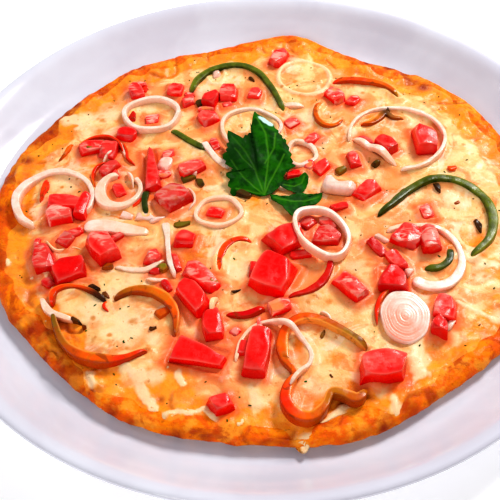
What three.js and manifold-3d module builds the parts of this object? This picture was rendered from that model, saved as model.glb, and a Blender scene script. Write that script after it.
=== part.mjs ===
// A round pizza with melted cheese, diced tomato, onion rings, bell pepper strips and a
// parsley leaf, lying on its white plate. Millimetres, +Z up; the origin is on the table
// under the middle of the plate, and the pizza is seen from the -Y side.
import * as THREE from "three";
import { mergeVertices } from "three/addons/utils/BufferGeometryUtils.js";
import Module from "manifold-3d";

const wasm = await Module();
wasm.setup();

// Driving dimensions of the plate
const PLATE_RADIUS = 165;
const PLATE_HEIGHT = 24;
const PLATE_FLOOR = 7;
const WELL_RADIUS = 135;
const FOOT_RADIUS = 94;
const FOOT_WIDTH = 6;
const FOOT_HEIGHT = 3;

// Driving dimensions of the pizza
const PIZZA_CENTRE = [2, 1];
const PIZZA_RADIUS = 134.5;
const GAP = 0.3;
const DOUGH_BOTTOM = PLATE_FLOOR + GAP;
const DOUGH_TOP = 12.3;
const RIM_TOP = 14.6;
const CHEESE_TOP = 15.4;
const CHEESE_EDGE = 13.2;
const SINK = 1.6;
const PAD = 0.4;

// Divisions of the round pieces
const PLATE_SIDES = 48;
const CRUST_SIDES = 64;
const CHEESE_SIDES = 40;
const RING_SIDES = 20;
const SLICE_SIDES = 16;
const STEP_LENGTH = 6.5;

const material = (name, color, roughness) =>
  new THREE.MeshStandardMaterial({ name, color, roughness, metalness: 0 });
const glaze = material("glaze", 0xe9e6ee, 0.12);
const dough = material("dough", 0xd9882f, 0.5);
const cheese = material("cheese", 0xf3cf96, 0.32);
const tomato = material("tomato", 0xd81e1c, 0.22);
const onion = material("onion", 0xf6ebe4, 0.3);
const greenPepper = material("green_pepper", 0x5c7420, 0.35);
const orangePepper = material("orange_pepper", 0xd2611a, 0.35);
const parsley = material("parsley", 0x1c5a12, 0.45);

const degrees = THREE.MathUtils.degToRad;

// Outline and heights of the pizza

// The dough is stretched by hand, so its edge is a circle with a few slow waves, a blunt
// corner at the far side and a dip beside it.
const OUTLINE_WAVES = [
  { size: 2.0, count: 2, phase: 0 },
  { size: 1.0, count: 4, phase: -7 },
  { size: 0.6, count: 7, phase: -157 },
  { size: 1.1, count: 9, phase: 25 },
];
const OUTLINE_BUMPS = [
  { size: 5.5, angle: 82, width: 8 },
  { size: -4.0, angle: 62, width: 8 },
];

const turnBetween = (a, b) =>
  Math.atan2(Math.sin(a - b), Math.cos(a - b));
const bump = (angle, { size, angle: middle, width }) =>
  size * Math.exp(-((turnBetween(angle, degrees(middle)) / degrees(width)) ** 2));

function crustRadius(angle) {
  let radius = PIZZA_RADIUS;
  for (const { size, count, phase } of OUTLINE_WAVES)
    radius += size * Math.cos(count * angle - degrees(phase));
  for (const one of OUTLINE_BUMPS) radius += bump(angle, one);
  return radius;
}

// The cheese stops short of the dough's edge, and runs down over it in three places.
const CHEESE_MARGIN = 8.5;
const CHEESE_RUNS = [
  { size: 5.5, angle: -113, width: 3.5 },
  { size: 5.0, angle: -98, width: 3.5 },
  { size: 6.0, angle: -84, width: 4 },
];

function cheeseRadius(angle) {
  let radius = crustRadius(angle) - CHEESE_MARGIN;
  radius += 2.2 * Math.sin(11 * angle + 0.6) + 1.6 * Math.sin(17 * angle + 2.1);
  for (const one of CHEESE_RUNS) radius += bump(angle, one);
  return radius;
}

// Slow rise and fall of the melted cheese
const cheeseTop = (x, y) =>
  CHEESE_TOP +
  0.45 * Math.sin(x / 13 + 0.6) * Math.cos(y / 15 - 0.4) +
  0.3 * Math.sin((x + y) / 8.5 + 2) +
  0.25 * Math.cos((x - 1.7 * y) / 10.5);

// Solids

// A closed geometry as a manifold-3d solid, with its faces turned outwards
function solidOf(geometry) {
  const bare = geometry.clone();
  for (const name of Object.keys(bare.attributes))
    if (name !== "position") bare.deleteAttribute(name);
  const merged = mergeVertices(bare, 1e-3);
  const vertProperties = new Float32Array(merged.attributes.position.array);
  const triVerts = new Uint32Array(merged.index.array);
  const make = () =>
    new wasm.Manifold(new wasm.Mesh({ numProp: 3, vertProperties, triVerts }));
  let solid = make();
  if (solid.volume() < 0) {
    for (let i = 0; i < triVerts.length; i += 3)
      [triVerts[i + 1], triVerts[i + 2]] = [triVerts[i + 2], triVerts[i + 1]];
    solid = make();
  }
  return solid;
}

const raised = (solid, up = GAP) => solid.translate([0, 0, up]);

// The largest body of a solid: what a cut leaves over is dropped
function largest(solid) {
  const bodies = solid.decompose();
  bodies.sort((a, b) => b.volume() - a.volume());
  return bodies[0];
}

function geometryOf(solid) {
  const mesh = solid.getMesh();
  const count = mesh.vertProperties.length / mesh.numProp;
  const positions = new Float32Array(count * 3);
  for (let i = 0; i < count; i++)
    for (let k = 0; k < 3; k++)
      positions[3 * i + k] = mesh.vertProperties[i * mesh.numProp + k];
  const geometry = new THREE.BufferGeometry();
  geometry.setAttribute("position", new THREE.BufferAttribute(positions, 3));
  geometry.setIndex(new THREE.BufferAttribute(new Uint32Array(mesh.triVerts), 1));
  geometry.computeVertexNormals();
  return geometry;
}

// Moves every vertex of a geometry by a rule
function shaped(geometry, rule) {
  const position = geometry.attributes.position;
  const point = new THREE.Vector3();
  for (let i = 0; i < position.count; i++) {
    point.fromBufferAttribute(position, i);
    rule(point);
    position.setXYZ(i, point.x, point.y, point.z);
  }
  return geometry;
}

// A LatheGeometry about Z instead of Y
const turned = (profile, sides) =>
  new THREE.LatheGeometry(
    profile.map(([radius, height]) => new THREE.Vector2(radius, height)),
    sides,
  ).rotateX(Math.PI / 2);

// Plate

const PLATE_PROFILE = [
  [0, FOOT_HEIGHT],
  [FOOT_RADIUS - FOOT_WIDTH - 2, FOOT_HEIGHT],
  [FOOT_RADIUS - FOOT_WIDTH, 0],
  [FOOT_RADIUS, 0],
  [FOOT_RADIUS + 3, FOOT_HEIGHT],
  [WELL_RADIUS, FOOT_HEIGHT + 1.2],
  [148, 8.6],
  [PLATE_RADIUS - 0.9, PLATE_HEIGHT - 2.8],
  [PLATE_RADIUS, PLATE_HEIGHT - 1.2],
  [PLATE_RADIUS - 1.8, PLATE_HEIGHT],
  [PLATE_RADIUS - 5.5, PLATE_HEIGHT - 1.3],
  [151, 15.8],
  [141, 8.6],
  [WELL_RADIUS, PLATE_FLOOR],
  [0, PLATE_FLOOR],
];

const plateSolid = solidOf(turned(PLATE_PROFILE, PLATE_SIDES));

// Dough

const CRUST_PROFILE = [
  [0, DOUGH_BOTTOM],
  [127.5, DOUGH_BOTTOM],
  [132, 8.6],
  [PIZZA_RADIUS, 10.6],
  [133.6, 12.9],
  [130, RIM_TOP],
  [125, 14.2],
  [119, DOUGH_TOP],
  [0, DOUGH_TOP],
];

// Blisters and folds along the rim rise and fall with the angle
function rimRelief(angle, radius) {
  const share = Math.exp(-(((radius - 129) / 7) ** 2));
  const waves = 0.8 * Math.sin(13 * angle + 0.4) + 0.6 * Math.sin(23 * angle + 1.9);
  return share * waves;
}

const crustSolid = solidOf(
  shaped(turned(CRUST_PROFILE, CRUST_SIDES), (p) => {
    const radius = Math.hypot(p.x, p.y);
    const angle = Math.atan2(p.y, p.x);
    const stretch = crustRadius(angle) / PIZZA_RADIUS;
    if (p.z > 12 && radius > 119.5) p.z += rimRelief(angle, radius);
    p.x = PIZZA_CENTRE[0] + p.x * stretch;
    p.y = PIZZA_CENTRE[1] + p.y * stretch;
  }),
);

// Cheese

const CHEESE_RINGS = [0.2, 0.42, 0.62, 0.8, 0.93];
const CHEESE_PROFILE = [
  [0, DOUGH_TOP - 1],
  [1, DOUGH_TOP - 1],
  [1, CHEESE_EDGE],
  ...[...CHEESE_RINGS].reverse().map((share) => [share, CHEESE_TOP]),
  [0, CHEESE_TOP],
];

const cheeseSheet = solidOf(
  shaped(turned(CHEESE_PROFILE, CHEESE_SIDES), (p) => {
    const angle = Math.atan2(p.y, p.x);
    const radius = cheeseRadius(angle);
    p.x = PIZZA_CENTRE[0] + p.x * radius;
    p.y = PIZZA_CENTRE[1] + p.y * radius;
    if (p.z > CHEESE_EDGE + 1) p.z = cheeseTop(p.x, p.y);
    else if (p.z > DOUGH_TOP) p.z += rimRelief(angle, 127) + 1.3;
  }),
).subtract(raised(crustSolid));

// Tomato and other chunks

// A number from -1 to 1 that depends on its inputs alone
function chance(...inputs) {
  let sum = 0;
  inputs.forEach((value, i) => (sum += value * (12.9898 + 65.233 * i)));
  const long = Math.sin(sum) * 43758.5453;
  return 2 * (long - Math.floor(long)) - 1;
}

// A cut chunk: a box with rounded corners, a crowned top and one end narrower, part of it
// sunk in the cheese. turn is in degrees.
function chunk({ at: [x, y], size: [length, width, height], turn = 0, taper = 0.15 }, pad = 0) {
  const tall = height + SINK;
  const box = new THREE.BoxGeometry(2, 2, 2, 2, 2, 2);
  shaped(box, (p) => {
    const [u, v, t] = [p.x, p.y, p.z];
    const corner = Math.abs(u * v);
    const draw = 1 - 0.15 * corner - 0.05 * (t + 1);
    const uneven = (axis) => 0.07 * chance(x + 3 * u, y + 3 * v, t + axis) * corner;
    p.x = (length / 2 + pad) * u * (draw + uneven(1));
    p.y = (width / 2 + pad) * v * (draw + uneven(2)) * (1 - (taper * (u + 1)) / 2);
    const crown = t > 0 ? 0.1 * height * (1 - u * u) * (1 - v * v) - 0.12 * height * corner : 0;
    p.z = (tall / 2 + (t > 0 ? pad : 0)) * t + crown;
  });
  box.rotateZ(degrees(turn));
  box.translate(x, y, cheeseTop(x, y) + height - tall / 2);
  return solidOf(box);
}

const chunks = (list, pad = 0) =>
  list.map((one) => chunk(one, pad)).reduce((whole, one) => whole.add(one));

// Rings and strips

// Points every 30 degrees or so along part of an ellipse; the angles are in degrees
function arc([x, y], [long, wide], from, to) {
  const steps = Math.ceil(Math.abs(to - from) / 30);
  return Array.from({ length: steps + 1 }, (_, i) => {
    const angle = degrees(from + ((to - from) * i) / steps);
    return [x + long * Math.cos(angle), y + wide * Math.sin(angle)];
  });
}

// Height that a strip gains where it lies over another piece
function liftOver(hills, x, y) {
  let lift = 0;
  for (const { at, reach, lift: top } of hills)
    lift = Math.max(lift, top * Math.exp(-(((x - at[0]) ** 2 + (y - at[1]) ** 2) / reach ** 2)));
  return lift;
}

// A strip with a four-sided section, swept along a flat curve and then laid on the cheese
function strip({ path, wall, band, over = [] }, pad = 0) {
  const flat = path.map(([x, y]) => new THREE.Vector3(x, y, 0));
  const curve = new THREE.CatmullRomCurve3(flat, false, "centripetal");
  const [half, side] = [(band + SINK) / 2 + pad, wall / 2 + pad];
  const section = new THREE.Shape();
  section.moveTo(-half, -side);
  section.lineTo(half, -side);
  section.lineTo(half, side);
  section.lineTo(-half, side);
  section.closePath();
  const swept = new THREE.ExtrudeGeometry(section, {
    steps: Math.max(2, Math.round(curve.getLength() / STEP_LENGTH)),
    bevelEnabled: false,
    extrudePath: curve,
  });
  shaped(swept, (p) => {
    p.z += cheeseTop(p.x, p.y) + (band - SINK) / 2 + liftOver(over, p.x, p.y);
  });
  return solidOf(swept);
}

// A closed ring, round or oval. slope tips it: its height gained for each mm along X and Y.
function ring(shape, pad = 0) {
  const { at: [x, y], radii: [long, wide], turn = 0, wall, band, lift = 0, slope = [0, 0] } = shape;
  const side = wall / 2 + pad;
  const [low, high] = [-SINK - pad, band + pad];
  const profile = [[-side, low], [side, low], [side * 0.9, high], [-side * 0.9, high], [-side, low]];
  const mean = (long + wide - wall) / 2;
  const body = turned(profile.map(([out, up]) => [mean + out, up]), RING_SIDES);
  shaped(body, (p) => {
    const angle = Math.atan2(p.y, p.x);
    const out = Math.hypot(p.x, p.y) - mean;
    const wobble = 0.4 * Math.sin(3 * angle + x) + 0.25 * Math.sin(5 * angle + y);
    p.x = ((long - wall / 2) + out + wobble) * Math.cos(angle);
    p.y = ((wide - wall / 2) + out + wobble) * Math.sin(angle);
  });
  body.rotateZ(degrees(turn));
  shaped(body, (p) => {
    p.z += lift + slope[0] * p.x + slope[1] * p.y + cheeseTop(x + p.x, y + p.y);
    p.x += x;
    p.y += y;
  });
  return solidOf(body);
}

// A slice across a whole small onion: a disc whose skins stand up as low steps
function onionSlice({ at: [x, y], radii: [long, wide], height, skins, slope }) {
  const profile = [[0, -SINK], [1, -SINK], [1, height * 0.8]];
  for (let skin = skins; skin > 0; skin--) {
    profile.push([(skin - 0.15) / skins, height]);
    profile.push([(skin - 0.8) / skins, height * 0.86]);
  }
  profile.push([0, height]);
  const body = turned(profile, SLICE_SIDES);
  shaped(body, (p) => {
    p.z += slope[0] * p.x * long + slope[1] * p.y * wide + cheeseTop(x, y);
    p.x = x + p.x * long;
    p.y = y + p.y * wide;
  });
  return solidOf(body);
}

// Small dice and strips, fused to the cheese they are baked into
const TOMATO_BITS = [
  { at: [-45, 88.5], size: [10, 10, 4], turn: 80 },
  { at: [-38, 79.5], size: [8, 8, 3.5], turn: 20 },
  { at: [-1.5, 83.5], size: [9, 8, 4], turn: 75 },
  { at: [-57.5, 66.8], size: [9, 8, 3], turn: 5 },
  { at: [-70.5, 54.5], size: [11, 9, 4.5], turn: -20 },
  { at: [-47.5, 38], size: [8, 6, 3], turn: 20 },
  { at: [-53, -31.5], size: [9, 9, 4], turn: 70 },
  { at: [51.5, 75.5], size: [9, 7, 3.5], turn: 50 },
  { at: [17.5, 59.5], size: [9, 7, 3.5], turn: 40 },
  { at: [16.5, 20], size: [9, 5, 3.5], turn: 10 },
  { at: [31, 24], size: [12, 8, 4], turn: 45 },
  { at: [37, -3], size: [10, 5, 3], turn: 10 },
  { at: [80, -8.5], size: [11, 8, 3.5], turn: 100 },
  { at: [5, -64], size: [12, 8, 4], turn: 15 },
  { at: [-21.5, -113.7], size: [10, 9, 4.5], turn: 25 },
  { at: [-72, 13], size: [11, 6, 3], turn: 120 },
  { at: [-23, -3.7], size: [10, 7, 3], turn: -20 },
  { at: [27.5, 46], size: [12, 6, 3.5], turn: 45 },
  { at: [-96, -19], size: [9, 9, 3.5], turn: 60 },
  { at: [53, -31], size: [15, 6.5, 4], turn: -62 },
  { at: [47.5, 29], size: [12, 7, 4], turn: 100 },
  { at: [55.5, 42.5], size: [12, 6, 3], turn: -50 },
  { at: [-38, -22.5], size: [11, 10, 4.5], turn: -15, taper: 0.25 },
  { at: [-27, 64.5], size: [12, 11, 4.5], turn: 30, taper: 0.3 },
  { at: [-35.5, 27.5], size: [15, 11, 4.5], turn: 25, taper: 0.25 },
];
const BAKED_STRIPS = [
  { wall: 3, band: 2.2, path: [[-19, -66.5], [-10, -67], [-1.5, -64]] },
  { wall: 2.4, band: 2, path: [[-71, -37.5], [-60, -40], [-50, -36]] },
  { wall: 2.6, band: 2, path: [[-104, -56.5], [-97, -65], [-86, -70]] },
  { wall: 3, band: 2.2, path: [[52.5, 43], [60, 34], [68, 25.5]] },
];
const strips = (list, pad = 0) =>
  list.map((one) => strip(one, pad)).reduce((whole, one) => whole.add(one));
const baked = (pad = 0) => chunks(TOMATO_BITS, pad).add(strips(BAKED_STRIPS, pad));
const cheeseSolid = largest(cheeseSheet.add(baked().subtract(raised(crustSolid))));

// Tomato pieces, each a cut chunk or two or three that hang together
const TOMATOES = {
  tomato_far_left: [{ at: [-67, 89.5], size: [14, 9, 4.5], turn: 105, taper: 0.3 }],
  tomato_far_pair: [
    { at: [-25.5, 79.5], size: [14, 8.5, 6.5], turn: 75 },
    { at: [-16, 84], size: [12, 11.5, 6.5], turn: 88 },
  ],
  tomato_far_corner: [{ at: [13, 114.5], size: [15, 9.5, 5], turn: 62 }],
  tomato_left_slice: [
    { at: [-88, 45], size: [15, 10, 5], turn: 20, taper: 0.3 },
    { at: [-79, 42.5], size: [13, 11, 5.5], turn: 70 },
  ],
  tomato_left_curl: [{ at: [-77.5, 28.5], size: [13, 7, 4.5], turn: 48 }],
  tomato_long_skin: [{ at: [-56, 26.5], size: [33, 8, 7], turn: 97, taper: 0.35 }],
  tomato_round: [{ at: [-44.5, 5.5], size: [16.5, 15.5, 7.5], turn: 40, taper: 0.1 }],
  tomato_in_ring: [
    { at: [-98, 5], size: [20, 9.5, 5.5], turn: -4 },
    { at: [-100, -4], size: [15, 11, 7], turn: 8, taper: 0.2 },
    { at: [-89, 2], size: [17, 7, 6.5], turn: 78, taper: 0.3 },
  ],
  tomato_left_wet: [{ at: [-105.5, -30], size: [17, 12, 5], turn: 105, taper: 0.2 }],
  tomato_left_skin: [{ at: [-92.5, -38.5], size: [17, 15, 6.5], turn: 20, taper: 0.1 }],
  tomato_cube: [{ at: [-77, -26], size: [18, 13, 7.5], turn: -62, taper: 0.1 }],
  tomato_seeded: [{ at: [-30, -46], size: [23, 10, 5.5], turn: -46, taper: 0.2 }],
  tomato_long_wedge: [
    { at: [-33.5, -58], size: [23, 11.5, 7.5], turn: -60, taper: 0.1 },
    { at: [-25, -73.5], size: [17, 10, 6.5], turn: -80, taper: 0.1 },
  ],
  tomato_flat_skin: [{ at: [-31.5, -88.5], size: [29, 16, 5], turn: -20, taper: 0.65 }],
  tomato_near_strip: [{ at: [-5.5, -89], size: [27, 11.5, 6.5], turn: 78, taper: 0.1 }],
  tomato_slab: [{ at: [38.5, -54.5], size: [18.5, 10.5, 5.5], turn: -52, taper: 0.1 }],
  tomato_big_skin: [{ at: [3.5, -46], size: [24, 20, 8.5], turn: 62, taper: 0.1 }],
  tomato_wedge: [{ at: [10, -24.5], size: [20, 16, 7], turn: 25, taper: 0.2 }],
  tomato_under_ring: [{ at: [30, -23], size: [15, 12, 4.5], turn: -10, taper: 0.2 }],
  tomato_near_block: [{ at: [48.5, -99], size: [22, 15, 8], turn: -4, taper: 0.2 }],
  tomato_dark_leg: [
    { at: [58.5, -51], size: [17, 16, 5.5], turn: 84, taper: 0.45 },
    { at: [61, -39.5], size: [13, 8, 5], turn: -66 },
  ],
  tomato_group: [
    { at: [68, -25.5], size: [14, 14, 5.5], turn: 60, taper: 0.1 },
    { at: [78, -27.5], size: [16, 10.5, 6.5], turn: 95, taper: 0.1 },
  ],
  tomato_pair: [
    { at: [79.5, -68.5], size: [14, 11.5, 5.5], turn: 72, taper: 0.1 },
    { at: [75, -78.5], size: [9.5, 8, 6], turn: 80 },
  ],
  tomato_tall_block: [{ at: [85.5, 41.5], size: [21.5, 12.5, 8.5], turn: 94, taper: 0.1 }],
  tomato_right_wedge: [{ at: [65.5, 38], size: [13, 10, 6], turn: -55, taper: 0.2 }],
  tomato_right_dice: [{ at: [52, 6], size: [16, 9, 5.5], turn: 42, taper: 0.1 }],
  tomato_pale: [{ at: [42, 79.5], size: [13.5, 9, 5], turn: -52, taper: 0.1 }],
};

// Pepper strips
const GREEN_PEPPERS = {
  pepper_green_far: {
    wall: 3.6,
    band: 3.2,
    path: [...arc([-15, 84], [22, 25], 172, 18), [10.5, 80], [13.5, 70.5]],
  },
  pepper_green_stick: { wall: 3.4, band: 2.6, path: [[-47, 57], [-35, 46], [-28, 41.5]] },
  pepper_green_right: {
    wall: 3.8,
    band: 3.6,
    path: [[56, -9], [62, -4.5], [68, 1.5], ...arc([88, -13], [23, 25.5], 125, -58), [96.5, -37.5]],
  },
  pepper_green_dark: { wall: 3, band: 3.4, path: [[-57.5, 12], [-58.5, 4], [-57.5, -4]] },
  pepper_green_hook: { wall: 3.4, band: 3, path: [[74, -43.5], [80, -44], [85.5, -40], [87.5, -32.5]] },
};
const ORANGE_PEPPERS = {
  pepper_orange_upper: { wall: 4.4, band: 3.6, path: arc([-59, -71.5], [18, 20], 128, -14) },
  pepper_orange_lower: { wall: 3.8, band: 4, path: arc([-70, -60], [27.5, 31], 186, 306) },
  pepper_orange_curl: {
    wall: 3,
    band: 2.8,
    path: [[-98.5, -57], [-98, -51], [-93, -48], [-85.5, -49], [-79, -52], [-74, -56.5]],
  },
  pepper_lobed: {
    wall: 4,
    band: 4.6,
    path: [
      [42, -88.5], [36.5, -83], [30, -78], [22.5, -73], [14, -72.5], [8, -77], [5.5, -85], [6.5, -94],
      [10.5, -101], [7, -107.5], [5.5, -114.5], [9.5, -121], [16, -122.5], [21.5, -117.5], [25, -110.5],
      [30, -111.5], [35.5, -114], [40, -109.5],
    ],
  },
  pepper_red_arc: { wall: 3.6, band: 2.4, path: arc([-11, -38], [11, 16.5], 190, 65) },
  pepper_red_strip: {
    wall: 3.2,
    band: 3.6,
    path: [[9.5, -58.5], [18, -56], [25, -51], [29.5, -43], [30, -35.5]],
  },
  pepper_orange_far: { wall: 3.8, band: 3, path: [[42, 92], [50, 93], [60, 92], [69, 88], [76.5, 78]] },
  pepper_brown_curl: { wall: 2.8, band: 2.6, path: arc([38, 66], [7.5, 11], 120, 330) },
  pepper_brown_wave: {
    wall: 3,
    band: 3,
    path: [[54, 56.5], [59, 56.5], [64, 60], [68, 64], [71.5, 60.5], [77.5, 60]],
  },
};

// Onion
const ONION_RINGS = {
  onion_ring_far: { at: [-57.5, 69], radii: [16, 14], wall: 3, band: 3.6, lift: 0.6 },
  onion_ring_back: { at: [-4.5, 57], radii: [17, 15], wall: 2.6, band: 3 },
  onion_ring_small: { at: [-22, -3.5], radii: [12.5, 11], wall: 2.8, band: 3 },
  onion_ring_front: {
    at: [27.5, -22.5],
    radii: [17, 13],
    turn: -62,
    wall: 2.8,
    band: 3,
    lift: 4.2,
    slope: [-0.13, 0.02],
  },
  onion_ring_leaf: { at: [21, 35.5], radii: [9, 10.5], wall: 3, band: 2.8 },
};
const ONION_STRIPS = {
  onion_ring_left: { wall: 2.8, band: 3.2, path: arc([-104, 8.5], [19, 19.5], -42, 244) },
  onion_twist: { wall: 3.2, band: 3.6, path: arc([-71, 12.5], [10.2, 11.5], 100, 410) },
  onion_ring_right: {
    wall: 1.8,
    band: 3.2,
    path: arc([71.5, 44.5], [25, 23.5], -92, 182),
    over: [{ at: [94, 38], reach: 12, lift: 2.5 }],
  },
  onion_arc: {
    wall: 3.2,
    band: 3.2,
    path: [...arc([77, -37], [15, 18], -130, 84), [68, -18.5], [59, -20.5]],
  },
  onion_band: { wall: 6.5, band: 2.4, path: [[-87.5, -10.5], [-76, -11], [-65, -13.5], [-56, -15]] },
  onion_stalk: {
    wall: 3.2,
    band: 2.8,
    path: [[-48, -9.5], [-46.8, -18.5], [-46.2, -27.5], [-45, -36], [-42.5, -43.5]],
  },
  onion_fork: { wall: 4, band: 2.8, path: [[-29.5, 47], [-26, 39.5], [-22, 32], [-16.5, 27]] },
  onion_thread: {
    wall: 1.8,
    band: 2,
    path: [
      [-15, -92.5], [-12.5, -82], [-7, -75], [0, -73], [7.5, -76], [13, -81], [17.5, -88.5], [17, -95],
      [12.5, -101], [7.5, -107.5],
    ],
    over: [
      { at: [8.5, -77], reach: 7, lift: 5.4 },
      { at: [9.5, -104], reach: 8.5, lift: 5.4 },
    ],
  },
};
const ONION_SLICE = { at: [61, -72], radii: [11, 13.5], height: 3.2, skins: 3, slope: [-0.03, 0.09] };
const ONION_HEART = [
  { at: [36, 10.5], size: [14, 12, 6], turn: -25, taper: 0.1 },
  { at: [44, 9], size: [7, 6, 4.5], turn: -20 },
];

// Parsley

// One broad leaf: lobes with teeth, given by their direction from the middle of the blade,
// their length and their spread. Its stalk end touches the cheese, and the blade rises from it.
const LEAF_MIDDLE = [-1, 24];
const LEAF_THICKNESS = 0.6;
const LEAF_SIDES = 60;
const LEAF_RINGS = 3;
const LEAF_BASE = 9;
const LEAF_LOBES = [
  { angle: 91, reach: 37, width: 30 },
  { angle: 123, reach: 29, width: 22 },
  { angle: 148, reach: 21, width: 26 },
  { angle: 188, reach: 18, width: 28 },
  { angle: 226, reach: 22, width: 24 },
  { angle: 262, reach: 18, width: 24 },
  { angle: 56, reach: 24, width: 30 },
  { angle: 28, reach: 19, width: 28 },
  { angle: -12, reach: 26, width: 16 },
  { angle: -33, reach: 36, width: 14 },
  { angle: -62, reach: 34, width: 19 },
];

function leafReach(angle) {
  let reach = LEAF_BASE;
  for (const { angle: middle, reach: long, width } of LEAF_LOBES) {
    const away = turnBetween(angle, degrees(middle)) / degrees(width);
    reach = Math.max(reach, long - (long - LEAF_BASE) * away * away);
  }
  return reach;
}

function leafLift(x, y) {
  const rise = 6.5 * (1 - Math.exp(-(((y - 4) / 19) ** 2)));
  return 1.8 + rise + 0.5 * Math.sin(x / 4) * Math.cos(y / 7) - 0.03 * Math.abs(x);
}

// An open sheet given a thickness below it: both faces are split into the same triangles
function thickened(sheet, thickness) {
  const points = sheet.attributes.position.array;
  const below = points.length / 3;
  const faces = [];
  const edges = new Map();
  for (let i = 0; i < sheet.index.count; i += 3) {
    const [a, b, c] = sheet.index.array.slice(i, i + 3);
    if (a === b || b === c || c === a) continue;
    faces.push(a, b, c, c + below, b + below, a + below);
    for (const [from, to] of [[a, b], [b, c], [c, a]])
      if (!edges.delete(`${to},${from}`)) edges.set(`${from},${to}`, [from, to]);
  }
  for (const [from, to] of edges.values())
    faces.push(to, from, from + below, to, from + below, to + below);
  const both = new Float32Array(points.length * 2);
  both.set(points);
  both.set(points, points.length);
  for (let i = below; i < 2 * below; i++) both[3 * i + 2] -= thickness;
  const solid = new THREE.BufferGeometry();
  solid.setAttribute("position", new THREE.BufferAttribute(both, 3));
  solid.setIndex(faces);
  return solid;
}

function leaf() {
  const disc = new THREE.RingGeometry(0, 1, LEAF_SIDES, LEAF_RINGS);
  for (const name of ["normal", "uv"]) disc.deleteAttribute(name);
  const sheet = shaped(mergeVertices(disc, 1e-4), (p) => {
    const reach = leafReach(Math.atan2(p.y, p.x));
    p.x = LEAF_MIDDLE[0] + p.x * reach;
    p.y = LEAF_MIDDLE[1] + p.y * reach;
    p.z = cheeseTop(p.x, p.y) + leafLift(p.x, p.y);
  });
  return solidOf(thickened(sheet, LEAF_THICKNESS));
}

// The scene: each piece is cut clear of those placed before it

const pizza = new THREE.Group();
const obstacles = [];
const bed = crustSolid.add(raised(crustSolid)).add(cheeseSolid).add(raised(cheeseSolid));

function place(name, solid, finish) {
  const { min, max } = solid.boundingBox();
  const anchor = [(min[0] + max[0]) / 2, (min[1] + max[1]) / 2, min[2]];
  const geometry = geometryOf(solid).translate(-anchor[0], -anchor[1], -anchor[2]);
  const mesh = new THREE.Mesh(geometry, finish);
  mesh.name = name;
  mesh.position.set(...anchor);
  pizza.add(mesh);
}

const apart = (a, b) => {
  const [p, q] = [a.boundingBox(), b.boundingBox()];
  return [0, 1, 2].some((k) => p.max[k] < q.min[k] || q.max[k] < p.min[k]);
};

function lay(name, solid, envelope, finish) {
  let rest = solid.subtract(bed);
  for (const one of obstacles) if (!apart(rest, one)) rest = rest.subtract(one);
  place(name, largest(rest), finish);
  obstacles.push(envelope);
}

place("plate", plateSolid, glaze);
place("crust", crustSolid, dough);
place("cheese", cheeseSolid, cheese);
obstacles.push(baked(PAD));
for (const [name, list] of Object.entries(TOMATOES))
  lay(name, chunks(list), chunks(list, PAD), tomato);
for (const [name, list] of Object.entries(GREEN_PEPPERS))
  lay(name, strip(list), strip(list, PAD), greenPepper);
for (const [name, list] of Object.entries(ORANGE_PEPPERS))
  lay(name, strip(list), strip(list, PAD), orangePepper);
for (const [name, list] of Object.entries(ONION_RINGS))
  lay(name, ring(list), ring(list, PAD), onion);
for (const [name, list] of Object.entries(ONION_STRIPS))
  lay(name, strip(list), strip(list, PAD), onion);
lay("onion_slice", onionSlice(ONION_SLICE), onionSlice(ONION_SLICE), onion);
lay("onion_heart", chunks(ONION_HEART), chunks(ONION_HEART, PAD), onion);
lay("parsley_leaf", leaf(), leaf(), parsley);

export default pizza;
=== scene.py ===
"""A round vegetable pizza on its white plate: melted cheese, diced tomato, onion rings,
bell pepper strips and a parsley leaf. Places are in millimetres, like the driving
dimensions, and become metres when a piece is finished. The near side is -Y."""

import itertools
import math

import bmesh
import bpy
import numpy as np
from mathutils import Matrix, Vector


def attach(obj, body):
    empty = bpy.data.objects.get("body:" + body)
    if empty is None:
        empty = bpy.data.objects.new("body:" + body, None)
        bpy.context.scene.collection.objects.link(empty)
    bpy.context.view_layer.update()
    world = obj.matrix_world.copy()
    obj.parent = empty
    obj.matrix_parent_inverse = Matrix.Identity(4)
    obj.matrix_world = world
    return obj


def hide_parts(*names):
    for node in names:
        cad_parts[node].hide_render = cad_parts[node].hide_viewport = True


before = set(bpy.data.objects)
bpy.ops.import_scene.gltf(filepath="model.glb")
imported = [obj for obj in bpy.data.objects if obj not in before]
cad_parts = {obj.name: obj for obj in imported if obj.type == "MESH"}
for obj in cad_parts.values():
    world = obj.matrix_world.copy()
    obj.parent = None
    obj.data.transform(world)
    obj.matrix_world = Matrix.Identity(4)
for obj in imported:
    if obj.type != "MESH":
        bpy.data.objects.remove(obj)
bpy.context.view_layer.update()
MM = 0.001

# Driving dimensions, as in the solids

PLATE_RADIUS = 165
PLATE_HEIGHT = 24
PLATE_FLOOR = 7
WELL_RADIUS = 135
FOOT_RADIUS = 94
FOOT_WIDTH = 6
FOOT_HEIGHT = 3
PIZZA_CENTRE = np.array((2.0, 1.0))
PIZZA_RADIUS = 134.5
DOUGH_BOTTOM = 7.3
DOUGH_TOP = 12.3
RIM_TOP = 14.6
CHEESE_TOP = 15.4
SINK = 1.6


# Numbers that scramble a place or some inputs into a value that looks random
SCRAMBLE = 43758.5453
SCRAMBLE_XYZ = np.array((127.1, 311.7, 74.7))
SCRAMBLE_FIRST = 12.9898
SCRAMBLE_STEP = 65.233
SEED_STEP = 17.31


# Rules that shape many points at once

def bell(distance, reach):
    return np.exp(-((distance / reach) ** 2))


def ramp(value, low, high):
    """0 below low, 1 above high and smooth between them; low may be the larger"""
    part = np.clip((value - low) / (high - low), 0, 1)
    return part * part * (3 - 2 * part)


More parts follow.
